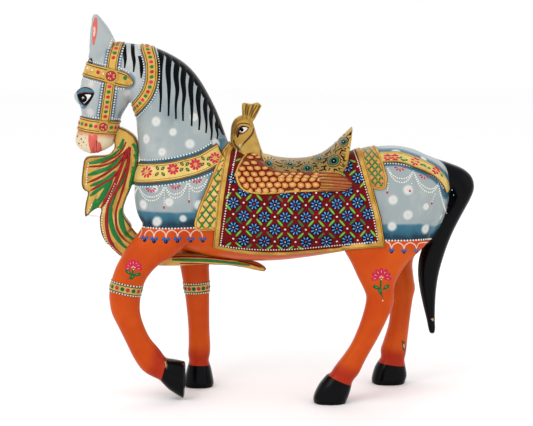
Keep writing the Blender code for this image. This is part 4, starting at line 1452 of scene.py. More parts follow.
def chest_front(t, drop):
    """A line across the front of the chest; t runs from -1 to 1, and drop is how far it is below the seam."""
    return front_line(neck_surface, corner.y * t, corner.z - drop + 0 * t)


bead_line("white", neck_surface, chest_front(np.linspace(-1, 1, 60), 0), 3.1, 2.0)
for i in range(FRONT_ARCHES):
    share = np.linspace(0, 1, 14)
    arch = chest_front(2 * (i + share) / FRONT_ARCHES - 1, 2.4 + 7.6 * np.abs(2 * share - 1) ** 3)
    brush_line("pale_pink", neck_surface, arch, 1.25, 0.25, 0.8, 0.8, 0.1)
    if i:
        for beside, drop, pot in ((-0.09, 11, "deep_blue"), (0.09, 11, "deep_blue"), (0, 13.4, "navy")):
            at = chest_front(np.array([2 * i / FRONT_ARCHES - 1 + beside]), drop)[0]
            place, normal = neck_surface.find_nearest(Vector(at))[:2]
            dab(pot, place, normal, Vector((0.1, 1, 0)), 4.2 * MM, 4.2 * MM, BEAD_HEIGHT)
tell("the lace")

# %% [markdown]
# The crupper runs from the saddle to the tail, with flowers on it and garlands under it like the breast
# band.

# %% Paint the crupper and its garlands
crupper_surface = surface_of(*crupper)
RUMP_PEGS = ((387, 167), (413.5, 171), (438.3, 184), (446.4, 213))
for (start, end), sag in zip(zip(RUMP_PEGS, RUMP_PEGS[1:]), (9.5, 10, 1.0)):
    garland(neck_surface, start, end, sag, 2.3, 1.75, 3.8 if sag > 2 else 2.5)
bead_trace("white", neck_surface, ((385, 163.6), (393, 163.4), (403, 164.6), (413, 167), (423, 170.6),
                                   (432, 175.4), (438.4, 180.6), (443, 188)), 2.6, 1.7)
for (ax, ay), (bx, by) in (((387.8, 183.5), (387.5, 190.5)), ((411.6, 183.5), (410.2, 189)),
                           ((435, 194), (432, 201.5))):
    bead_trace("white", neck_surface, ((ax, ay), (bx, by)), 2.4, 1.5)
    leaf("red", neck_surface, bx - 0.2, by + 1.8, -100, 3.2, 2.2)
for px, py in ((400, 168.5), (424.6, 176.4)):
    spray(neck_surface, px, py, 5)
for px, py, size in ((387.6, 157.4, 1.9), (395, 157.2, 1.9), (415.2, 161.4, 2.3), (436.2, 170.4, 2.1)):
    flower("crimson", "gold", crupper_surface, px, py, 1.3 * size, 7, (3.8, 2.7))
for px, py, angle in ((400.6, 157.6, 60), (402.6, 159.8, -20), (406, 160, 40), (421.6, 164.6, 30),
                      (424.6, 165.4, -60), (429, 168, 20), (441.6, 175, -50)):
    leaf("green", crupper_surface, px, py, angle, 4.6, 2.7)
    leaf("light_green", crupper_surface, px + 0.3, py - 0.3, angle, 1.8, 0.9, 0.3, 0.45 * MM)
tell("the crupper")

# %% [markdown]
# The saddle cloth is sprinkled like brocade: blue flowers in staggered rows, a white dot between each two,
# and green dashes that draw a net of diamonds round them. The rows sag a little in the middle, because the
# painter followed the belly. A flower is left out where the border or the wing would cut it.

# %% Paint the saddle cloth
cloth_surface = surface_of(saddle_cloth)
cover_surface = surface_of(saddle, *wings)
FLOWER_PITCH = 20.73
ROW_PITCH = 12.3
FIRST_FLOWER = (233.3, 202)
ROWS = range(-4, 4)
CLOTH_BORDER = 6.6 * MM


def edge_depth(ob, surface, place):
    """How far a place on a cloth is from the cloth's edge, in metres."""
    face = surface.find_nearest(place)[2]
    layer = ob.data.attributes["edge"].data
    corners = ob.data.polygons[face].vertices
    return sum(layer[i].value for i in corners) / len(corners) * 10 * MM


def open_place(ob, surface, cover, px, py, margin):
    """Whether the finger meets the cloth there, clear of its border and of the cover that lies over it."""
    place = point_at(surface, px, py)[0]
    if place is None or edge_depth(ob, surface, place) < margin:
        return False
    over = point_at(cover, px, py)[0]
    return over is None or (over - CAMERA_PLACE).length > (place - CAMERA_PLACE).length


def cloth_open(px, py, margin):
    """Whether there is room for a mark of that size on the saddle cloth; the margin is in millimetres."""
    return open_place(saddle_cloth, cloth_surface, cover_surface, px, py, CLOTH_BORDER + margin * MM)


for k in ROWS:
    for i in range(-2, 10):
        px = FIRST_FLOWER[0] + FLOWER_PITCH * (i + 0.5 * (k % 2))
        sag = 3.2 * (1 - ((px - 295) / 70) ** 2)
        py = FIRST_FLOWER[1] + ROW_PITCH * k + sag
        if cloth_open(px, py, 3.2 if px < 300 else 2.2):
            patch("night", cloth_surface, ring_outline(px, py, 12.6, 11.8), 0.12, 1.6, 1)
            flower("sky_blue", "white", cloth_surface, px, py, 3.7, 8, (3.9, 1.5), 22)
            for angle in np.arange(0, 360, 90) + 22 + 45 * (i % 2):
                bead("pale_blue", cloth_surface, *around(px, py, 4.6, 4.6, angle), 0.9, 0.6 * MM)
            bead("magenta" if i % 2 else "pale_pink", cloth_surface, px, py, 1.6, 0.9 * MM)
        node_px = px + FLOWER_PITCH / 2
        if cloth_open(node_px, py, 1.6):
            bead("white", cloth_surface, node_px, py, 2.1)
        for way in (-1, 1):
            dash_px, dash_py = node_px + way * FLOWER_PITCH / 4, py + ROW_PITCH / 2
            if cloth_open(dash_px, dash_py, 2.4):
                pot = "light_green" if (i + k) % 3 else "green"
                leaf(pot, cloth_surface, dash_px, dash_py, -way * 50, 9.0, 2.2, 0.1)
CLOTH_INSIDE = (((236.5, 150), (231, 178), (226.5, 205), (220.6, 244.5)),
    ((220.6, 245.6), (236, 248), (262, 249.8), (290, 249.4), (320, 247), (350, 244.2), (378, 241.8)),
    ((378, 241.8), (373.4, 217), (367.6, 195), (358.6, 164), (353.4, 150)))
for path in CLOTH_INSIDE:
    bead_trace("white", cloth_surface, path, 2.6, 1.6)
tell("the saddle cloth")

# %% [markdown]
# The flaps carry a net of green lines with a red drop in each mesh. The net is drawn as two families of
# slanted lines, and each line is kept only where it runs on the flap.

# %% Paint the flaps
FRONT_FLAP_WINDOW = (194, 150, 232, 232)
REAR_FLAP_WINDOW = (356, 146, 390, 192)


def net(ob, window, spacing, slopes, width, border, mesh_pot, mesh_size):
    """Green crossing lines on a flap, and a drop in the meshes."""
    surface = surface_of(ob)
    left, top, right, bottom = window

    def clear(px, py):
        return open_place(ob, surface, cloth_surface, px, py, border)

    for slope in slopes:
        for first in np.arange(top - 60, bottom + 60, spacing):
            run = []
            for px in np.arange(left, right, 0.8):
                py = first + slope * (px - left)
                if clear(px, py):
                    run.append((px, py))
                elif run:
                    break
            if len(run) > 4:
                stroke("green", surface, run[::2], width, 0.25, 0.8, 0.8, 0.1)
    for row, py in enumerate(np.arange(top, bottom, spacing / 2)):
        for px in np.arange(left, right, spacing / abs(slopes[0])):
            px += (row % 2) * spacing / abs(slopes[0]) / 2
            if clear(px, py):
                leaf(mesh_pot[(row + int(px)) % len(mesh_pot)], surface, px, py, 50, mesh_size,
                     mesh_size * 0.75, 0)


net(front_flap, FRONT_FLAP_WINDOW, 10.4, (1.3, -1.3), 1.8, 3.2 * MM, ("red", "coral"), 2.8)
net(rear_flap, REAR_FLAP_WINDOW, 7.6, (1.2, -1.2), 2.1, 3.2 * MM, ("red", "coral"), 2.8)
tell("the flaps")

# %% [markdown]
# The wing's feathers overlap like roof tiles. Each is a small curved tongue of its own, lifted at its free
# end, so the scales throw real shadows. They turn from hanging at the shoulder to lying along the wing, and
# long pinions take over at the back.

# %% Lay the scales and the pinions
SCALE_PITCH = (7.7, 5.5)
SCALE_LENGTH = 9.6
SCALE_WIDTH = 7.6
SCALE_LIFT = 1.3
SCALE_CELLS = 6
SCALES_FROM = (231, 152)
SCALES_TO = (322, 196)
PINION_ROOTS = ((318, 175.6), (319.5, 178.6), (321, 181.6), (321, 184.4), (320, 187.2), (318.5, 189.6))
PINION_TIPS = ((341, 176), (347.5, 180), (351.6, 183.6), (352.6, 186.2), (351, 188), (345, 189.6))


def tongue(bm, uv, surface, place, normal, way, length, width, lift):
    """One scale: a tongue-shaped plate whose root is tucked in and whose rounded tip stands off."""
    way = (way - normal * way.dot(normal)).normalized()
    across = normal.cross(way)
    grid = []
    for r in range(SCALE_CELLS + 1):
        along = r / SCALE_CELLS
        half = width / 2 * math.sqrt(max(0.0, 1 - max(0.0, (along - 0.42) / 0.58) ** 2.2))
        half *= 0.75 + 0.25 * min(1.0, along / 0.3)
        row = []
        for c in range(SCALE_CELLS + 1):
            side = -1 + 2 * c / SCALE_CELLS
            at = place + way * (along - 0.5) * length + across * side * half
            base = surface.find_nearest(at)[0]
            rise = lift * (0.12 + 0.88 * along) * (1 - 0.35 * side * side) - 0.25 * MM
            row.append((bm.verts.new(base + normal * rise), along, (side + 1) / 2))
        grid.append(row)
    for a, b in zip(grid, grid[1:]):
        for i in range(SCALE_CELLS):
            corners = (a[i], a[i + 1], b[i + 1], b[i])
            face = bm.faces.new([corner[0] for corner in corners])
            for loop, corner in zip(face.loops, corners):
                loop[uv].uv = corner[1:]
    rim = [row[0] for row in grid] + grid[-1][1:-1] + [row[-1] for row in reversed(grid)]
    feet = [(bm.verts.new(v.co - normal * (0.9 * MM)), along, side) for v, along, side in rim]
    for (a, b), (c, d) in zip(zip(rim, rim[1:]), zip(feet, feet[1:])):
        face = bm.faces.new((a[0], c[0], d[0], b[0]))
        for loop, corner in zip(face.loops, (a, c, d, b)):
            loop[uv].uv = (1.0, 0.0)


scales = bmesh.new()
scale_map = scales.loops.layers.uv.new("pattern")
rng = np.random.default_rng(5)
laid = 0
for column in range(int((SCALES_TO[0] - SCALES_FROM[0]) / SCALE_PITCH[0]) + 1, -1, -1):
    for row in range(int((SCALES_TO[1] - SCALES_FROM[1]) / SCALE_PITCH[1]) + 1):
        px = SCALES_FROM[0] + SCALE_PITCH[0] * (column + 0.5 * (row % 2)) + rng.uniform(-0.5, 0.5)
        py = SCALES_FROM[1] + SCALE_PITCH[1] * row + rng.uniform(-0.4, 0.4)
        place, normal = point_at(wing_surface, px, py)
        if place is None or px > SCALES_TO[0]:
            continue
        deep = inside_distance(np.array([place.x]), np.array([place.z]), WING_OUTLINE)[0]
        if deep < 1.7 * MM:
            continue
        share = float(ramp(px, 245, 285))
        angle = math.radians(-58 + 48 * share + rng.uniform(-5, 5))
        way = Vector((math.cos(angle), 0, math.sin(angle)))
        size = min(1.0, 0.7 + deep / (12 * MM))
        for root, facing in ((place, normal), mirrored_place(wing_surface, place)):
            tongue(scales, scale_map, wing_surface, root, facing, way, SCALE_LENGTH * MM * size,
                   SCALE_WIDTH * MM * size, SCALE_LIFT * MM)
        bead("cream", wing_surface, px + 0.4, py + 0.2, 1.1, 1.6 * MM)
        laid += 1
wing_scales = shaped_object("wing_scales", scales)
print("scales on each wing:", laid)
for i, (root, tip) in enumerate(zip(PINION_ROOTS, PINION_TIPS)):
    middle = ((root[0] + tip[0]) / 2, (root[1] + tip[1]) / 2 - 0.4)
    stroke("copper", wing_surface, (root, middle, tip), 4.6, 1.2, 0.8, 0.4, 0.2)
    stroke("gold", wing_surface, tuple((px, py - 0.4) for px, py in (root, middle)), 1.2, 1.5, 0.6, 0.2, 0.3)
    stroke("brown", wing_surface, tuple((px, py + 1.6) for px, py in (root, middle, tip)), 1.2, 1.3,
           0.8, 0.2, 0.1)
WING_RIM = ((243, 155.6), (239.6, 160.6), (237.2, 168), (236.8, 176), (238.6, 183), (242.4, 188.6),
    (250, 192.2), (264.6, 193.4), (291, 191.6), (318, 190.6), (345, 190.4))
stroke("gold", wing_surface, WING_RIM, 2.6, 0.9, 0.6, 0.4, 0.2)

# %% [markdown]
# The saddle's bird has a long painted eye, a beak line with a pearl, and a train of feather eyes over the
# seat. Each feather eye is a pile of ovals, from a brown ring to a teal heart and a white light, with barbs
# round it.

# %% Paint the bird and its train
bird_surface = surface_of(saddle)
patch("brown", bird_surface, ((235.6, 133.5), (237.5, 128.4), (242, 125.6), (248.6, 127.2), (247.6, 129.4),
                              (244.5, 132.6), (239.6, 134.6), (237.6, 137.6)), 0.12)
patch("white", bird_surface, ((238.8, 131.6), (240.6, 128.6), (244, 127.2), (247.4, 128), (246, 130.6),
                              (242.6, 132.6)), 0.3)
patch("black", bird_surface, ring_outline(241.9, 129.8, 3.6, 4.0), 0.45, 0.9, 1)
stroke("black", bird_surface, ((237.6, 137.4), (238.6, 133.8), (240, 129), (243.6, 126.6),
                               (249.2, 127.6)), 1.5, 0.5)
stroke("dark_red", bird_surface, ((238.4, 134.6), (242.4, 133.4), (246.4, 130.8), (249, 127.8)), 1.3, 0.45)
stroke("brown", bird_surface, ((234.6, 136), (236, 127.4), (241, 123.4), (248, 124), (251.4, 127)), 1.3,
       0.35, 0.4, 0.3)
stroke("brown", bird_surface, ((253.8, 128.6), (252.6, 133), (248.8, 138), (244.6, 142.4),
                               (241.4, 147.2)), 2.0, 0.4)
stroke("brown", bird_surface, ((234, 140), (234.6, 144), (238.6, 148.6), (241, 150)), 2.0, 0.35)
stroke("brown", bird_surface, ((260.6, 150), (261.6, 157), (264.8, 163.6)), 1.6, 0.3)
leaf("white", bird_surface, 239.8, 145.8, 70, 3.2, 1.8, 0, 0.8 * MM)
bead("brown", bird_surface, 238.4, 149.4, 2.4)
for top, bottom in (((246, 104.5), (245.4, 116)), ((249.4, 105), (247.4, 116)), ((253, 105), (249, 117)),
                    ((256.8, 105), (250.6, 118)), ((260, 106), (252, 119))):
    stroke("brown", bird_surface, (top, ((top[0] + bottom[0]) / 2 - 0.3, (top[1] + bottom[1]) / 2),
                                   bottom), 1.1, 0.3)
FEATHER_EYES = ((269, 163.5, 9, 7.6, 10), (290, 164.2, 11, 5, 4), (307.6, 168.4, 12.4, 8, -4),
    (319.6, 159, 8, 5, -8), (334, 161, 13.5, 11.5, -20), (343.6, 142, 10, 9, -50))
EYE_OVALS = (("brown", 1.1, 1.12, 0.14, 1.1), ("gold", 0.92, 0.9, 0.22, 1.1),
    ("black", 0.84, 0.8, 0.3, 1.1), ("teal", 0.74, 0.7, 0.4, 1.0), ("black", 0.42, 0.46, 0.5, 1.0))
for px, py, width, height, angle in FEATHER_EYES:
    for pot, wide, high, lift, grain in EYE_OVALS:
        patch(pot, bird_surface, ring_outline(px, py, width * wide, height * high, angle), lift, grain, 1)
    bead("white", bird_surface, px, py, 1.3, 0.95 * MM)
    for turn in np.arange(0, 360, 27) + px:
        ends = [around(px, py, k * width, k * height, turn) for k in (0.66, 0.95)]
        if all(point_at(bird_surface, *end)[0] for end in ends) and ends[1][1] < 172.6:
            stroke("black", bird_surface, ends, 1.25, 0.2, 0.8, 0.2)
patch("black", bird_surface, ((347.6, 136), (350, 132.4), (352.2, 131.2), (351, 135.2)), 0.2, 0.9, 1)
BARBS = (((276, 162), (281, 163.5)), ((277, 165.5), (283, 167)), ((298, 163), (301, 160.5)),
    ((299, 166), (303, 163.6)), ((280.5, 160.6), (285.4, 160.2)), ((313, 163), (317, 164.4)),
    ((323, 163.6), (327, 160)), ((321, 167), (326.4, 166)), ((297, 170.6), (301, 171)),
    ((284, 170), (290, 171)), ((319, 171), (325, 169)), ((338.6, 150), (341.4, 147.6)),
    ((333, 151.6), (336.4, 148)), ((340, 152.6), (343.4, 149)), ((346, 137), (348.6, 139.6)),
    ((342, 134.6), (345.4, 135)), ((326, 153.6), (330, 151)), ((311, 159.6), (314.4, 158.4)),
    ((324, 157), (328.4, 152.6), (330.6, 149)), ((340.6, 155), (343.6, 158.4), (344.6, 162)),
    ((336, 151.4), (340, 148.6)), ((341.6, 150.6), (345.6, 150.8)),
    ((325.4, 165), (324.4, 168.6), (326.6, 171)), ((334.6, 169), (338, 170.6)),
    ((338.4, 137), (342, 135)), ((347, 142.6), (349, 139)), ((336, 143), (335.4, 148)),
    ((313, 165.6), (318, 167)), ((327.6, 157), (325, 161)))
for path in BARBS:
    stroke("black", bird_surface, path, 1.8, 0.25, 0.7, 0.2)
for share in np.linspace(0, 1, 10):
    px, py = 347.5 - 5.5 * share, 146 + 26 * share
    stroke("brown", bird_surface, ((px, py), (px - 4.6, py - 1.4)), 0.9, 0.25, 0.9, 0.2)
stroke("brown", bird_surface, ((264, 168), (273.6, 172), (296, 172.4), (318, 172.6), (339, 173)), 1.0, 0.4)
tell("the bird")

# %% [markdown]
# The sash is striped like silk. Its stripes are brush lines that start at the knot and follow the fall of
# the cloth, green and red in turn, with a string of pearls down the middle fold.

# %% Paint the sash
SASH_GREEN = ((((123.5, 139), (120, 148), (112, 156), (100, 161), (88.5, 163.5)), 2.8),
    (((122, 157), (110, 167), (98, 172), (88, 175)), 3.0), (((115.5, 171), (105, 180), (90, 186)), 2.4),
    (((110, 181), (98, 190), (90, 196)), 2.4), (((112, 178), (105, 192), (98, 203), (91, 211)), 3.6),
    (((128, 160), (122, 180), (114, 195), (110, 212), (113, 230), (121, 243), (128, 249)), 3.2),
    (((133, 143.5), (136.6, 152), (135, 170), (131, 185), (124, 205), (121, 218), (125, 232),
    (134, 240)), 3.6), (((96, 199), (93, 208), (91.5, 218)), 2.4), (((172, 259.6), (205, 260.6),
    (228, 262.6), (250, 265.4)), 2.2))
SASH_RED = ((((129.5, 147), (118, 158), (105, 165), (86, 167)), 1.2),
    (((128, 150), (116, 166), (100, 177), (87, 183)), 1.5), (((118.5, 170), (112, 178), (100, 185),
    (90, 191)), 1.3), (((129.5, 148), (122, 165), (113, 188), (101, 208)), 2.4),
    (((130, 147), (127, 165), (119, 185), (109, 205), (106.5, 222), (109, 238), (115, 248), (122, 254)),
    2.0), (((130, 148), (128, 170), (121, 195), (116, 212), (117, 228), (123, 238), (131, 244)), 1.4),
    (((126, 142), (122, 150), (114, 157.4), (100, 164)), 1.0), (((166, 257), (200, 257), (238, 260.4)),
    1.1), (((180, 263.4), (210, 264), (246, 267)), 1.1), (((238, 261), (250, 263.6), (262, 267.6)),
    1.3))
SASH_PEARLS = (((115, 184), (109.5, 197), (103.5, 211), (101.5, 222), (102.5, 228), (105, 238),
    (110, 247), (116, 253), (121, 256)), ((88.4, 163.6), (86.8, 174), (86.4, 184)),
    ((91.6, 205), (88, 212), (87.6, 219)))
for path, width in SASH_GREEN:
    stroke("green", sash_surface, path, 1.75 * width, 0.3, 0.6, 0.5, 0.2)
for path, width in SASH_RED:
    stroke("lacquer", sash_surface, path, 2.0 * width, 0.4, 0.8, 0.4, 0.15)
for path in SASH_PEARLS:
    bead_trace("white", sash_surface, path, 2.6, 1.7)
for y, pot in ((-5, "green"), (-1.7, "lacquer"), (1.7, "green"), (5, "lacquer")):
    fall = np.linspace(0, 1, 60)
    brush_line(pot, sash_surface, front_line(sash_surface, y + 0.6 * np.sin(9 * fall + y),
                                             238 - 88 * fall), 1.9)
tell("the sash")

# %% [markdown]
# Last come the small things: the jewels of the knee bands, a sprig of flowers on two of the legs, and the
# chips that years of handling have knocked off the hooves and the tail. A chip shows the pale ground under
# the paint, so it is a flat patch with a broken outline.

# %% Paint the legs and the chips
KNEE_DOTS = 32
KNEE_LOOK = 0.05
NEAR_KNEE_SLOPE = -3.0 * MM
FAR_KNEE_SLOPE = 0.6 * MM
for made in knee_bands:
    surface = surface_of(made)
    middle = np.mean(places(made), axis=0)
    slope = NEAR_KNEE_SLOPE if made.name.startswith("near") else FAR_KNEE_SLOPE
    for i in range(KNEE_DOTS):
        turn = 2 * math.pi * i / KNEE_DOTS
        way = Vector((math.cos(turn), math.sin(turn), 0))
        marks = [(4.9, "white", 1.6), (-4.9, "white", 1.6)]
        if i % 2:
            marks.append((0, ("red", "leaf_green")[i // 2 % 2], 4.4))
        for rise, pot, size in marks:
            start = Vector(middle) + way * KNEE_LOOK + Vector((0, 0, rise * MM + slope * way.x))
            hit, normal = surface.ray_cast(start, -way)[:2]
            if hit is not None:
                dab(pot, hit, normal, Vector((0.1, 0.1, 1)), size * MM, size * MM, BEAD_HEIGHT)
near_leg = surface_of(body)
SPRIGS = (((133.4, 268), 5.4, (7.6, 3.9), ((133, 268), (132, 275), (127.6, 280)),
    ((128.6, 272.4, 140), (137, 274.6, 10), (132.4, 277, 60))), ((381.4, 278), 6.4, (8.6, 4.1),
    ((381, 279), (380.6, 288), (382.7, 299)), ((376.6, 287.6, 155), (386, 287.4, 35), (380, 291, 100))))
for (px, py), radius, petal, stem, leaves in SPRIGS:
    stroke("leaf_green", near_leg, stem, 1.9, 0.25, far=False)
    for leaf_px, leaf_py, angle in leaves:
        leaf("leaf_green", near_leg, leaf_px, leaf_py, angle, 8.4, 3.8, far=False)
        leaf("light_green", near_leg, leaf_px, leaf_py - 0.4, angle, 3.4, 0.9, 0.3, 0.45 * MM, False)
    for angle in np.linspace(-6, 186, 7):
        at = around(px, py, radius, radius, angle)
        leaf("crimson", near_leg, *at, angle, *petal, far=False)
        leaf("pale_pink", near_leg, *at, angle, 0.36 * petal[0], 0.16 * petal[1], 0.3, 0.45 * MM, False)
    for angle in (-90, 20, 90, 160):
        bead("pale_pink", near_leg, *around(px, py, 1.5, 1.5, angle), 1.6, 0.6 * MM, False)
bead("white", near_leg, 382.7, 300.6, 1.4, far=False)
for px, py in ((452, 190), (453.5, 195)):
    bead("white", near_leg, px, py, 1.4)
CHIPS = (("brown", ((163.4, 356), (165.4, 356.6), (166.6, 361), (168, 365), (167, 370), (165, 366),
    (164.2, 361))), ("bare_wood", ((164.4, 361), (166, 362), (166.8, 365.6), (165.6, 368))),
    ("brown", ((401.6, 340), (404.6, 341.4), (406, 347), (405, 353), (402.6, 349))),
    ("bare_wood", ((403.2, 343), (405, 345), (404.6, 349), (403, 347))),
    ("bare_wood", ((430.6, 318.8), (433, 318), (435, 319.8), (432.8, 321.2))))
for pot, outline in CHIPS:
    patch(pot, near_leg, outline, 0.08 + 0.05 * (pot == "bare_wood"), 0.9, 1, far=False)
tell("the legs")

# %% [markdown]
# Now the ground colours. The soft parts of the painting, such as the blue shading round the harness and the
# cloudy white spots, were rubbed in with a dry brush. Each is worked out here as a number for every point
# of the mesh, and the material turns the numbers into colour.

# %% Measure the soft shading
COAT_SPOTS = ((156, 121.5), (173, 132), (146, 139), (162, 152), (190, 144), (194, 117), (216, 143),
    (155, 189), (143, 204.5), (169, 202), (157, 221.5), (183, 218.5), (393, 200), (408, 215),
    (426, 206.6), (408, 190), (392, 226.5), (425.5, 229), (441, 217), (396, 151.5), (423.6, 158.4),
    (127, 93), (91, 84), (90, 112), (199, 205))
MANE_CREST = ((-117, 349), (-103, 341), (-89, 331), (-77, 317), (-66, 299), (-57, 282), (-51, 266))
SPOT_RADIUS = 4.4 * MM
CREST_WIDTH = 4.8 * MM
CREST_WAVER = 0.7 * MM
FLAP_FRONT = ((-53, 300), (-53, 248), (-66, 216), (-76, 192), (-82, 176), (-79, 168), (0, 160), (0, 300))
HOOF_LINES = (((160.7, 381.7), (166.7, 360.7), -28, -41), ((186, 365.5), (211.7, 366.5), 28, 16),
    ((332.5, 378.5), (352, 387), -42, -54), ((382.3, 364), (405.7, 367.3), 42, 30))


def picture_place(px, py, y):
    """Where the line of sight through a place of the picture crosses the upright plane at y."""
    way = picture_ray(px, py)
    return CAMERA_PLACE + way * ((y - CAMERA_PLACE.y) / way.y)


def spots_on(points):
    """How strongly each point lies in a cloudy spot, on either side."""
    strength = np.zeros(len(points))
    for px, py in COAT_SPOTS:
        place = point_at(neck_and_head, px, py)[0]
        if place is None:
            continue
        radius = SPOT_RADIUS * (1 + 0.2 * math.sin(px + py))
        away = np.sqrt((points[:, 0] - place.x) ** 2 + (np.abs(points[:, 1]) - abs(place.y)) ** 2
                       + (points[:, 2] - place.z) ** 2)
        strength = np.maximum(strength, 1 - ramp(away, 0.1 * radius, 1.5 * radius))
    return strength


def near_path(x, z, path, inner, outer):
    """1 within the inner distance of a band's path, fading to 0 at the outer one, in drawing units."""
    return 1 - ramp(path_distance(x, z, [row[:2] for row in path]), inner * UNIT, outer * UNIT)


def shapes_near(points, *shapes):
    """How far each point is from the nearest of the lofts."""
    tree = loft_tree(shapes)
    return np.array([tree.find_nearest(Vector(p))[3] for p in points])


points = places(body)
x, y, z = points.T
seam_places = [point_at(neck_surface, px, py)[0] for px, py in CHEST_SEAM + RUMP_SEAM]
seam = np.interp(x, *zip(*sorted((place.x, place.z) for place in seam_places if place is not None)))
above_seam = z - seam
from_tail = shapes_near(points, TAIL)
from_rest = shapes_near(points, TRUNK, NEAR_HIND_LEG, FAR_HIND_LEG)
tail = np.clip(from_rest - from_tail, -5 * MM, 5 * MM)
tail = np.where((x > 140 * UNIT) & (from_tail < 3 * MM), np.maximum(tail, -1.5 * MM), tail)
hoof = np.full(len(points), -1.0)
for start, end, leg_y, face_y in HOOF_LINES:
    start, end = (picture_place(*pixel, face_y * UNIT) for pixel in (start, end))
    along = (end - start).normalized()
    side = (x - start.x) * along.z - (z - start.z) * along.x
    same_leg = (np.abs(y / UNIT - leg_y) < 20) & (np.abs(x - start.x) < 40 * UNIT) & (z < 60 * UNIT)
    hoof = np.where(same_leg, np.maximum(hoof, side), hoof)
chest = 1 - ramp(x, -60 * UNIT, -40 * UNIT)
rump = ramp(x, 70 * UNIT, 90 * UNIT)
shade = (chest + rump) * (1 - ramp(above_seam, 14 * MM, 18 * MM))
shade *= 1 - 0.45 * ramp(above_seam, 2 * MM, 15 * MM)
from_flap = -inside_distance(x, z, FLAP_FRONT)
shade = np.maximum.reduce([
    shade,
    0.75 * near_path(x, z, BREAST_BAND, 11, 14.5) * chest,
    0.7 * near_path(x, z, CRUPPER, 6, 9) * rump,
    0.6 * near_path(x, z, COLLAR_PATH, 7, 10),
    0.45 * (1 - ramp(from_flap, 0, 9 * MM)) * chest
])
mark(body, "orange", -above_seam / CM)
mark(body, "tail", tail / CM)
mark(body, "hoof", hoof / CM)
mark(body, "shade", np.clip(shade, 0, 1))
mark(body, "spot", spots_on(points))
crest = path_distance(x, z, MANE_CREST) + CREST_WAVER * np.sin(x / (1.1 * MM))
mark(body, "crest", (CREST_WIDTH - crest) / CM)
mark(body, "fetlock", 1 - ramp(-hoof, 4 * MM, 30 * MM))

points = places(head)
x, y, z = points.T
jaw_x = true_place(np.array([-200.0, -155.0]), np.array([264.0, 262.0]))[0]
below_noseband = np.interp(x, jaw_x, np.array([267.0, 262.0]) * UNIT) - z
face = (below_noseband < 0) & (x < true_place(-128, 300)[0])
shade = np.maximum.reduce([
    0.75 * near_path(x, z, CHEEK_STRAP, 6.5, 11) * ramp(z, 274 * UNIT, 280 * UNIT),
    0.5 * near_path(x, z, BROWBAND[:6], 8, 11),
    0.5 * near_path(x, z, NOSEBAND, 8, 11) * face,
    0.5 * near_path(x, z, COLLAR_PATH, 7, 10)
])
mark(head, "muzzle", np.where(x < true_place(-150, 260)[0], below_noseband, -0.01) / CM)
mark(head, "shade", np.clip(shade * (z < 345 * UNIT), 0, 1))
mark(head, "spot", spots_on(points))

points = places(sash)
x, y, z = points.T
ribbon_side = [row[:2] for row in RIBBON] + [row[2:4] for row in reversed(RIBBON)]
deep = np.maximum(inside_distance(x, z, SASH_OUTLINE), inside_distance(x, z, ribbon_side))
mark(sash, "rim", (1 - ramp(deep, 0.6 * MM, 2.2 * MM)) * ramp(np.abs(directions(sash)[:, 1]), 0.25, 0.6))
# The pleat number also darkens the sash's grooves in its material: painted shade in the pleats.
mark(sash, "pleat", pleats)
points = places(saddle)
x, y, z = points.T
facing = directions(saddle)
on_seat = ramp(x, -12 * UNIT, 4 * UNIT) * (1 - ramp(x, 50 * UNIT, 74 * UNIT))
mark(saddle, "seat", on_seat * ramp(z, 222 * UNIT, 232 * UNIT))
# Painted shade: the upturned top of the seat is greyed where its surface rounds over.
mark(saddle, "seat_top_shade", on_seat * ramp(facing[:, 2], 0.25, 0.85))
# The flute number also darkens the crest's grooves in its material: painted shade in the flutes.
mark(saddle, "flute", flutes)
print("layers on the body:", len(body.data.attributes), "and on the head:", len(head.data.attributes))

# %% [markdown]
# One brush effect serves every painted ground: colour that drifts a little lighter and darker, streaks
# along the strokes, and a faint height for the ridges that bristles leave. It is a node group, and each
# material gives it its own colours and strength.

# %% Build the brushed paint group
STUDIO_GAIN = 0.84


def linear(rgb):
    """A colour as the picture shows it, in 0 to 255, made a little darker because the studio is bright."""
    return tuple(STUDIO_GAIN * (max(c / 255 + 0.055, 0) / 1.055) ** 2.4 for c in rgb) + (1.0,)


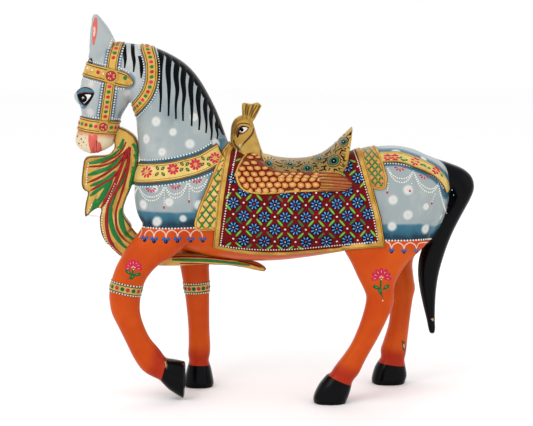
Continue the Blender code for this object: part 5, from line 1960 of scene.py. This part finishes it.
class Nodes:
    """Short words for building a node tree."""

    def __init__(self, tree):
        self.tree = tree
        self.shader = tree.nodes.get("Principled BSDF")

    def node(self, kind, **settings):
        made = self.tree.nodes.new(kind)
        for name, value in settings.items():
            setattr(made, name, value)
        return made

    def put(self, socket, value):
        if isinstance(value, bpy.types.NodeSocket):
            self.tree.links.new(value, socket)
        else:
            socket.default_value = value

    def fed(self, made, values):
        for name, value in values.items():
            self.put(made.inputs[name], value)
        return made.outputs

    def blend(self, share, first, second):
        return self.fed(self.node("ShaderNodeMix", data_type="RGBA"), {0: share, 6: first, 7: second})[2]

    def number(self, share, first, second):
        return self.fed(self.node("ShaderNodeMix", data_type="FLOAT"), {0: share, 2: first, 3: second})[0]

    def maths(self, operation, first, second=0.0):
        return self.fed(self.node("ShaderNodeMath", operation=operation), {0: first, 1: second})[0]

    def times(self, first, second):
        return self.maths("MULTIPLY", first, second)

    def plus(self, first, second):
        return self.maths("ADD", first, second)

    def minus(self, first, second):
        return self.maths("SUBTRACT", first, second)

    def step(self, value, low, high):
        made = self.node("ShaderNodeMapRange", interpolation_type="SMOOTHSTEP")
        return self.fed(made, {"Value": value, "From Min": low, "From Max": high})["Result"]

    def read(self, name):
        return self.node("ShaderNodeAttribute", attribute_name=name).outputs["Fac"]

    def noise(self, where, scale, detail=4.0, roughness=0.55, stretch=None):
        if stretch:
            mapping = self.node("ShaderNodeMapping")
            where = self.fed(mapping, {"Vector": where, "Scale": stretch})["Vector"]
        values = {"Vector": where, "Scale": scale, "Detail": detail, "Roughness": roughness}
        return self.fed(self.node("ShaderNodeTexNoise"), values)["Fac"]

    def paint_with(self, colour):
        self.put(self.shader.inputs["Base Color"], colour)

    def place(self):
        return self.node("ShaderNodeTexCoord").outputs["Object"]

    def pattern(self):
        found = self.node("ShaderNodeUVMap", uv_map="pattern").outputs["UV"]
        return self.fed(self.node("ShaderNodeSeparateXYZ"), {0: found})


def new_group(name, inputs, outputs):
    """An empty node group with named sockets, and its words, inputs and output."""
    tree = bpy.data.node_groups.new(name, "ShaderNodeTree")
    for label, kind, value in inputs:
        socket = tree.interface.new_socket(label, in_out="INPUT", socket_type=kind)
        socket.default_value = value
    for label, kind in outputs:
        tree.interface.new_socket(label, in_out="OUTPUT", socket_type=kind)
    words = Nodes(tree)
    return tree, words, words.node("NodeGroupInput").outputs, words.node("NodeGroupOutput").inputs


brushed, n, given, out = new_group("brushed_paint",
                                   (("Colour", "NodeSocketColor", (0.5, 0.5, 0.5, 1)),
                                    ("Light Colour", "NodeSocketColor", (0.7, 0.7, 0.7, 1)),
                                    ("Dark Colour", "NodeSocketColor", (0.3, 0.3, 0.3, 1)),
                                    ("Patch Scale", "NodeSocketFloat", 60.0)),
                                   (("Colour", "NodeSocketColor"), ("Height", "NodeSocketFloat"),
                                    ("Rubbed", "NodeSocketFloat")),)
where = n.place()
patchy = n.noise(where, given["Patch Scale"], 5, 0.5)
streaks = n.noise(where, 260, 3, 0.6, (1.0, 1.0, 0.22))
fine = n.noise(where, 900, 2, 0.5)
colour = n.blend(n.step(patchy, 0.5, 0.78), given["Colour"], given["Light Colour"])
colour = n.blend(n.step(patchy, 0.46, 0.22), colour, given["Dark Colour"])
colour = n.blend(n.times(n.step(streaks, 0.52, 0.8), 0.35), colour, given["Light Colour"])
n.put(out["Colour"], colour)
n.put(out["Height"], n.plus(n.times(streaks, 0.7), n.times(fine, 0.3)))
n.put(out["Rubbed"], n.step(patchy, 0.3, 0.75))

edge_lines, n, given, out = new_group(
    "lines_along_a_band",
    (("Centre", "NodeSocketFloat", 0.8), ("Width", "NodeSocketFloat", 0.05)),
    (("Line", "NodeSocketFloat"),),
)
wobble = n.minus(n.times(n.noise(n.place(), 90, 2), 0.1), 0.05)
from_middle = n.times(n.maths("ABSOLUTE", n.minus(n.pattern()[1], 0.5)), 2)
offset = n.maths("ABSOLUTE", n.minus(n.plus(from_middle, wobble), given["Centre"]))
n.put(out["Line"], n.step(offset, given["Width"], n.times(given["Width"], 0.55)))
print("node groups:", brushed.name, edge_lines.name)

# %% [markdown]
# Every finish starts from the same words: a Principled shader, the brushed group with three tones of the
# colour, and a weak bump. What differs is the varnish. Black enamel is glossy, the coat is satin, and the
# gold has metal powder in it.

# %% Mix the ground colours
RIDGE_HEIGHT = 0.4 * MM


def finish(name, rgb, roughness, metallic=0.0, sheen=0.2, patch_scale=60.0, bump=0.06, light=1.14, dark=0.8,
           light_tone=None, dark_tone=None):
    """A painted material, with its node words and its brushed colour for adding more to it."""
    material = bpy.data.materials.new(name)
    material.use_nodes = True
    n = Nodes(material.node_tree)
    light_tone = light_tone or tuple(min(255, c * light + 6) for c in rgb)
    dark_tone = dark_tone or tuple(c * dark for c in rgb)
    paint = n.fed(n.node("ShaderNodeGroup", node_tree=brushed),
                  {"Colour": linear(rgb), "Light Colour": linear(light_tone),
                   "Dark Colour": linear(dark_tone), "Patch Scale": patch_scale})
    height = {"Strength": bump, "Distance": RIDGE_HEIGHT, "Height": paint["Height"]}
    ridges = n.fed(n.node("ShaderNodeBump"), height)["Normal"]
    n.fed(n.shader, {"Base Color": paint["Colour"], "Roughness": roughness, "Metallic": metallic,
                   "Specular IOR Level": sheen, "Normal": ridges})
    return material, n, paint


def band_line(n, centre, width):
    """The mask of a line along both edges of a band."""
    return n.fed(n.node("ShaderNodeGroup", node_tree=edge_lines), {"Centre": centre, "Width": width})["Line"]


def clouded(n, colour, mist_scale, shades, spots):
    """A coat rubbed darker and dotted where its mesh says so, broken up by a mist; gives colour and mist."""
    mist = n.noise(n.place(), mist_scale, 4)
    shade = n.times(n.read("shade"), n.plus(n.times(mist, 0.9), 0.55))
    for low, high, rgb in shades:
        colour = n.blend(n.step(shade, low, high), colour, linear(rgb))
    spot = n.times(n.read("spot"), n.plus(n.times(mist, 0.5), 0.75))
    for low, high, strength, rgb in spots:
        colour = n.blend(n.times(n.step(spot, low, high), strength), colour, linear(rgb))
    return colour, mist


ORANGE = (198, 68, 6)
LIGHT_ORANGE = (214, 88, 14)
FETLOCK_RED = (176, 46, 16)
ENAMEL_BLACK = (3, 4, 8)
CREAM = (222, 200, 158)
LIGHT_CREAM = (236, 220, 186)
BLUSH = (216, 132, 82)
coat_paint, n, paint = finish("grey_coat", (160, 171, 173), 0.36, 0, 0.2, 26, 0.08,
                                      light_tone=(188, 193, 189), dark_tone=(138, 153, 158))
colour, mist = clouded(n, paint["Colour"], 70, ((0.05, 0.6, (54, 110, 132)), (0.55, 1.05, (6, 42, 60))),
                       ((0.1, 0.75, 0.85, (228, 230, 226)), (0.75, 1.1, 0.35, (226, 176, 160))))
orange = n.blend(paint["Rubbed"], linear(ORANGE), linear(LIGHT_ORANGE))
fetlock = n.times(n.read("fetlock"), n.plus(n.times(mist, 0.8), 0.6))
orange = n.blend(n.step(fetlock, 0.2, 1.0), orange, linear(FETLOCK_RED))
on_legs = n.step(n.read("orange"), -0.01, 0.02)
colour = n.blend(on_legs, colour, orange)
black = n.maths("MAXIMUM", n.step(n.read("hoof"), -0.01, 0.02), n.step(n.read("tail"), -0.01, 0.02))
on_crest = n.step(n.read("crest"), -0.02, 0.02)
black = n.maths("MAXIMUM", black, on_crest)
n.paint_with(n.blend(black, colour, linear(ENAMEL_BLACK)))
n.put(n.shader.inputs["Roughness"], n.number(black, n.number(on_legs, 0.36, 0.3), 0.2))
sheen = n.number(black, n.number(on_legs, 0.2, 0.12), 0.1)
n.put(n.shader.inputs["Specular IOR Level"], n.number(on_crest, sheen, 0.03))

face_paint, n, paint = finish("grey_face", (174, 182, 183), 0.36, 0, 0.2, 30, 0.08,
                                      light_tone=(200, 204, 200), dark_tone=(150, 163, 168))
colour, mist = clouded(n, paint["Colour"], 110, ((0.05, 0.75, (70, 112, 142)), (0.62, 1.0, (34, 62, 96))),
                       ((0.12, 0.9, 0.6, (230, 222, 220)),))
muzzle = n.blend(paint["Rubbed"], linear(CREAM), linear(LIGHT_CREAM))
blush = n.plus(n.read("muzzle"), n.times(mist, -0.5))
muzzle = n.blend(n.step(blush, 0.55, -0.1), muzzle, linear(BLUSH))
n.paint_with(n.blend(n.step(n.read("muzzle"), -0.01, 0.02), colour, muzzle))


def gold_band(name, rgb, light_tone, dark_tone, metallic, sheen, patch_scale, lines):
    """A band's gold paint with dark lines along both edges, each with its centre, width and colour."""
    material, n, paint = finish(name, rgb, 0.36, metallic, sheen, patch_scale, light_tone=light_tone,
                                        dark_tone=dark_tone)
    colour = paint["Colour"]
    for centre, width, line_rgb in lines:
        colour = n.blend(band_line(n, centre, width), colour, linear(line_rgb))
    n.paint_with(colour)
    return material


band_gold = gold_band("band_gold", (214, 172, 84), (232, 198, 116), (182, 132, 54), 0.12, 0.1, 150,
                      ((0.97, 0.1, (120, 76, 26)), (0.67, 0.085, (96, 56, 18))))
knee_gold = gold_band("knee_band_gold", (192, 166, 88), (210, 186, 112), (150, 122, 60), 0.05, 0.2, 150,
                      ((0.99, 0.22, (16, 14, 12)), (0.68, 0.1, (24, 40, 24))))
breast_gold = gold_band("breast_band_gold", (226, 194, 112), (240, 214, 142), (204, 160, 78), 0.08, 0.1,
                        120, ((0.98, 0.09, (104, 64, 20)), (0.86, 0.045, (70, 38, 14)),
                              (0.68, 0.035, (110, 66, 22))))


def bordered(name, ground, light_ground, dark_ground, border_at, lines):
    """A cloth's paint: a ground inside, a gold border and thin dark lines at distances from the edge."""
    material, n, paint = finish(name, ground, 0.4, 0, 0.07, 70, light_tone=light_ground,
                                        dark_tone=dark_ground)
    drift = n.times(n.noise(n.place(), 120, 3), 0.08)
    edge = n.plus(n.read("edge"), n.minus(drift, 0.04))
    gold = n.blend(paint["Rubbed"], linear((188, 138, 56)), linear((226, 184, 94)))
    in_border = n.step(edge, border_at + 0.012, border_at - 0.012)
    colour = n.blend(in_border, paint["Colour"], gold)
    for centre, width, rgb in lines:
        away = n.maths("ABSOLUTE", n.minus(edge, centre))
        colour = n.blend(n.step(away, width, width * 0.5), colour, linear(rgb))
    n.paint_with(colour)
    n.put(n.shader.inputs["Metallic"], n.times(in_border, 0.25))
    return material


maroon_cloth = bordered("maroon_cloth", (108, 8, 14), (130, 12, 20), (66, 4, 14), 0.62,
                        ((0.02, 0.05, (84, 18, 16)), (0.17, 0.03, (96, 56, 20)), (0.6, 0.035, (92, 50, 18))))
flap_cloth = bordered("flap_cloth", (226, 186, 98), (238, 206, 128), (204, 150, 66), 0.26,
                      ((0.02, 0.04, (84, 40, 16)), (0.27, 0.03, (92, 50, 18))))
rear_flap_cloth = bordered("rear_flap_cloth", (216, 152, 78), (226, 182, 104), (210, 112, 60), 0.26,
                           ((0.02, 0.04, (84, 40, 16)), (0.27, 0.03, (92, 50, 18))))

bird_gold, n, paint = finish("bird_gold", (196, 156, 74), 0.36, 0.22, 0.1, 60,
                                     light_tone=(218, 184, 104), dark_tone=(150, 108, 44))
colour = n.blend(n.step(n.read("seat"), 0.1, 0.9), paint["Colour"], linear((166, 132, 62)))
# Painted shade: a grey wash on the upturned top of the seat.
colour = n.blend(n.times(n.read("seat_top_shade"), 0.25), colour, linear((110, 112, 96)))
# Painted shade: the crest turns dark brown in the grooves of its flutes.
colour = n.blend(n.times(n.step(n.read("flute"), 0.55, 1.0), 0.75), colour, linear((96, 62, 22)))
n.paint_with(colour)

wing_ground = finish("wing_ground", (116, 40, 18), 0.4, 0.05)[0]
scale_gold, n, paint = finish("scale_gold", (212, 146, 76), 0.34, 0.1, 0, 200,
                                      light_tone=(226, 172, 104), dark_tone=(192, 104, 56))
along, across, _ = n.pattern()
beside = n.times(n.times(n.maths("ABSOLUTE", n.minus(across, 0.5)),
                                     2), 0.95)
ahead = n.times(n.minus(along, 0.5), 1.9)
from_heart = n.maths("SQRT", n.plus(n.maths("POWER", beside, 2), n.maths("POWER", ahead, 2)))
colour = n.blend(n.step(from_heart, 0.45, 0.1), paint["Colour"], linear((232, 196, 128)))
colour = n.blend(n.step(from_heart, 0.58, 0.82), colour, linear((124, 30, 22)))
n.paint_with(colour)

sash_silk, n, paint = finish("sash_silk", (218, 174, 84), 0.34, 0.05, 0.12, 80,
                                     light_tone=(234, 200, 118), dark_tone=(190, 136, 54))
# Painted shade: the sash turns towards brown in the grooves of its pleats.
colour = n.blend(n.times(n.step(n.read("pleat"), 0.6, 1.0), 0.4), paint["Colour"],
                 linear((140, 84, 30)))
colour = n.blend(n.read("rim"), colour, linear((104, 64, 24)))
n.paint_with(colour)

rosette_red, n, paint = finish("rosette", (190, 52, 44), 0.32, 0, 0.15, 260,
                                       light_tone=(222, 104, 84), dark_tone=(140, 24, 28))
share = n.pattern()[1]
colour = n.blend(n.step(share, 0.62, 0.66), paint["Colour"], linear((206, 160, 74)))
line = n.step(n.maths("ABSOLUTE", n.minus(share, 0.66)), 0.06, 0.03)
colour = n.blend(line, colour, linear((88, 44, 18)))
n.paint_with(colour)

POT_FINISH = {"gold": (0.34, 0.4), "black": (0.24, 0.0), "brown": (0.45, 0.0)}
pot_paints = {}
for name, rgb in POT_COLOURS.items():
    roughness, metallic = POT_FINISH.get(name, (0.26, 0.0))
    sheen = 0.05 if max(rgb) < 70 else 0.25
    pot_paints[name] = finish("enamel_" + name, rgb, roughness, metallic, sheen, 400, 0.03, 1.06, 0.9)[0]
print("finishes:", len(bpy.data.materials))

# %% [markdown]
# Each pot of marks now becomes an object with its own enamel. Everything is then set on the carved block:
# it rides with the block and stands in for it.

# %% Put everything on the block
painted = []
for pot in pots.values():
    if not pot.points:
        continue
    mesh = bpy.data.meshes.new("paint_" + pot.name)
    mesh.from_pydata(pot.points, [], pot.faces)
    mesh.update()
    mesh.shade_smooth()
    made = new_object("paint_" + pot.name, mesh)
    painted.append((made, pot_paints[pot.name]))
pieces = [(body, coat_paint), (head, face_paint), (sash, sash_silk), (saddle, bird_gold),
          (saddle_cloth, maroon_cloth), (front_flap, flap_cloth), (rear_flap, rear_flap_cloth),
          (wing_scales, scale_gold), *((made, wing_ground) for made in wings),
          *((made, band_gold) for made in (*browband, *noseband, *cheek_strap, *collar)),
          *((made, knee_gold) for made in knee_bands),
          *((made, breast_gold) for made in (*breast_band, *crupper)),
          *((made, rosette_red) for made in rosettes), *painted]
triangles = 0
for made, material in pieces:
    made.data.materials.clear()
    made.data.materials.append(material)
    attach(made, ROOT)
    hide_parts(BLOCK)
    count = sum(len(face.vertices) - 2 for face in made.data.polygons)
    triangles += count
    print(made.name, count, "triangles")
print("all pieces:", len(pieces), "triangles:", triangles)

# %% [markdown]
# The studio is plain: a pale floor, a white room, one big soft light from the upper left and a weaker one
# on the right, so the varnish shows soft highlights and the shadow under the hooves stays faint.

# %% Light the studio
FLOOR_SIZE = 14
FLOOR_WHITE = 0.985
bpy.context.scene.view_settings.view_transform = "Standard"
floor_paint = bpy.data.materials.new("studio_floor")
floor_paint.use_nodes = True
floor_shader = floor_paint.node_tree.nodes["Principled BSDF"]
floor_shader.inputs["Base Color"].default_value = (FLOOR_WHITE, FLOOR_WHITE, FLOOR_WHITE, 1)
floor_shader.inputs["Roughness"].default_value = 0.85
bpy.ops.mesh.primitive_plane_add(size=FLOOR_SIZE, location=(0, 0, 0))
floor = bpy.context.object
floor.name = "studio_floor"
floor.data.materials.append(floor_paint)

room = bpy.data.worlds.new("studio_room")
room.use_nodes = True
room.node_tree.nodes["Background"].inputs["Color"].default_value = (1, 1, 1, 1)
room.node_tree.nodes["Background"].inputs["Strength"].default_value = 1.0
bpy.context.scene.world = room


def soft_light(name, place, size, power):
    """A large square light that points at the middle of the horse."""
    data = bpy.data.lights.new(name, "AREA")
    data.size = size
    data.energy = power
    made = bpy.data.objects.new(name, data)
    made.location = place
    made.rotation_euler = (Vector((0, 0, 0.2)) - Vector(place)).to_track_quat("-Z", "Y").to_euler()
    bpy.context.scene.collection.objects.link(made)


soft_light("window_light", (-1.0, -1.3, 1.5), 1.1, 11)
soft_light("fill_light", (1.5, -1.0, 0.8), 1.2, 2)
soft_light("back_light", (0.6, 1.5, 1.3), 1.2, 4)
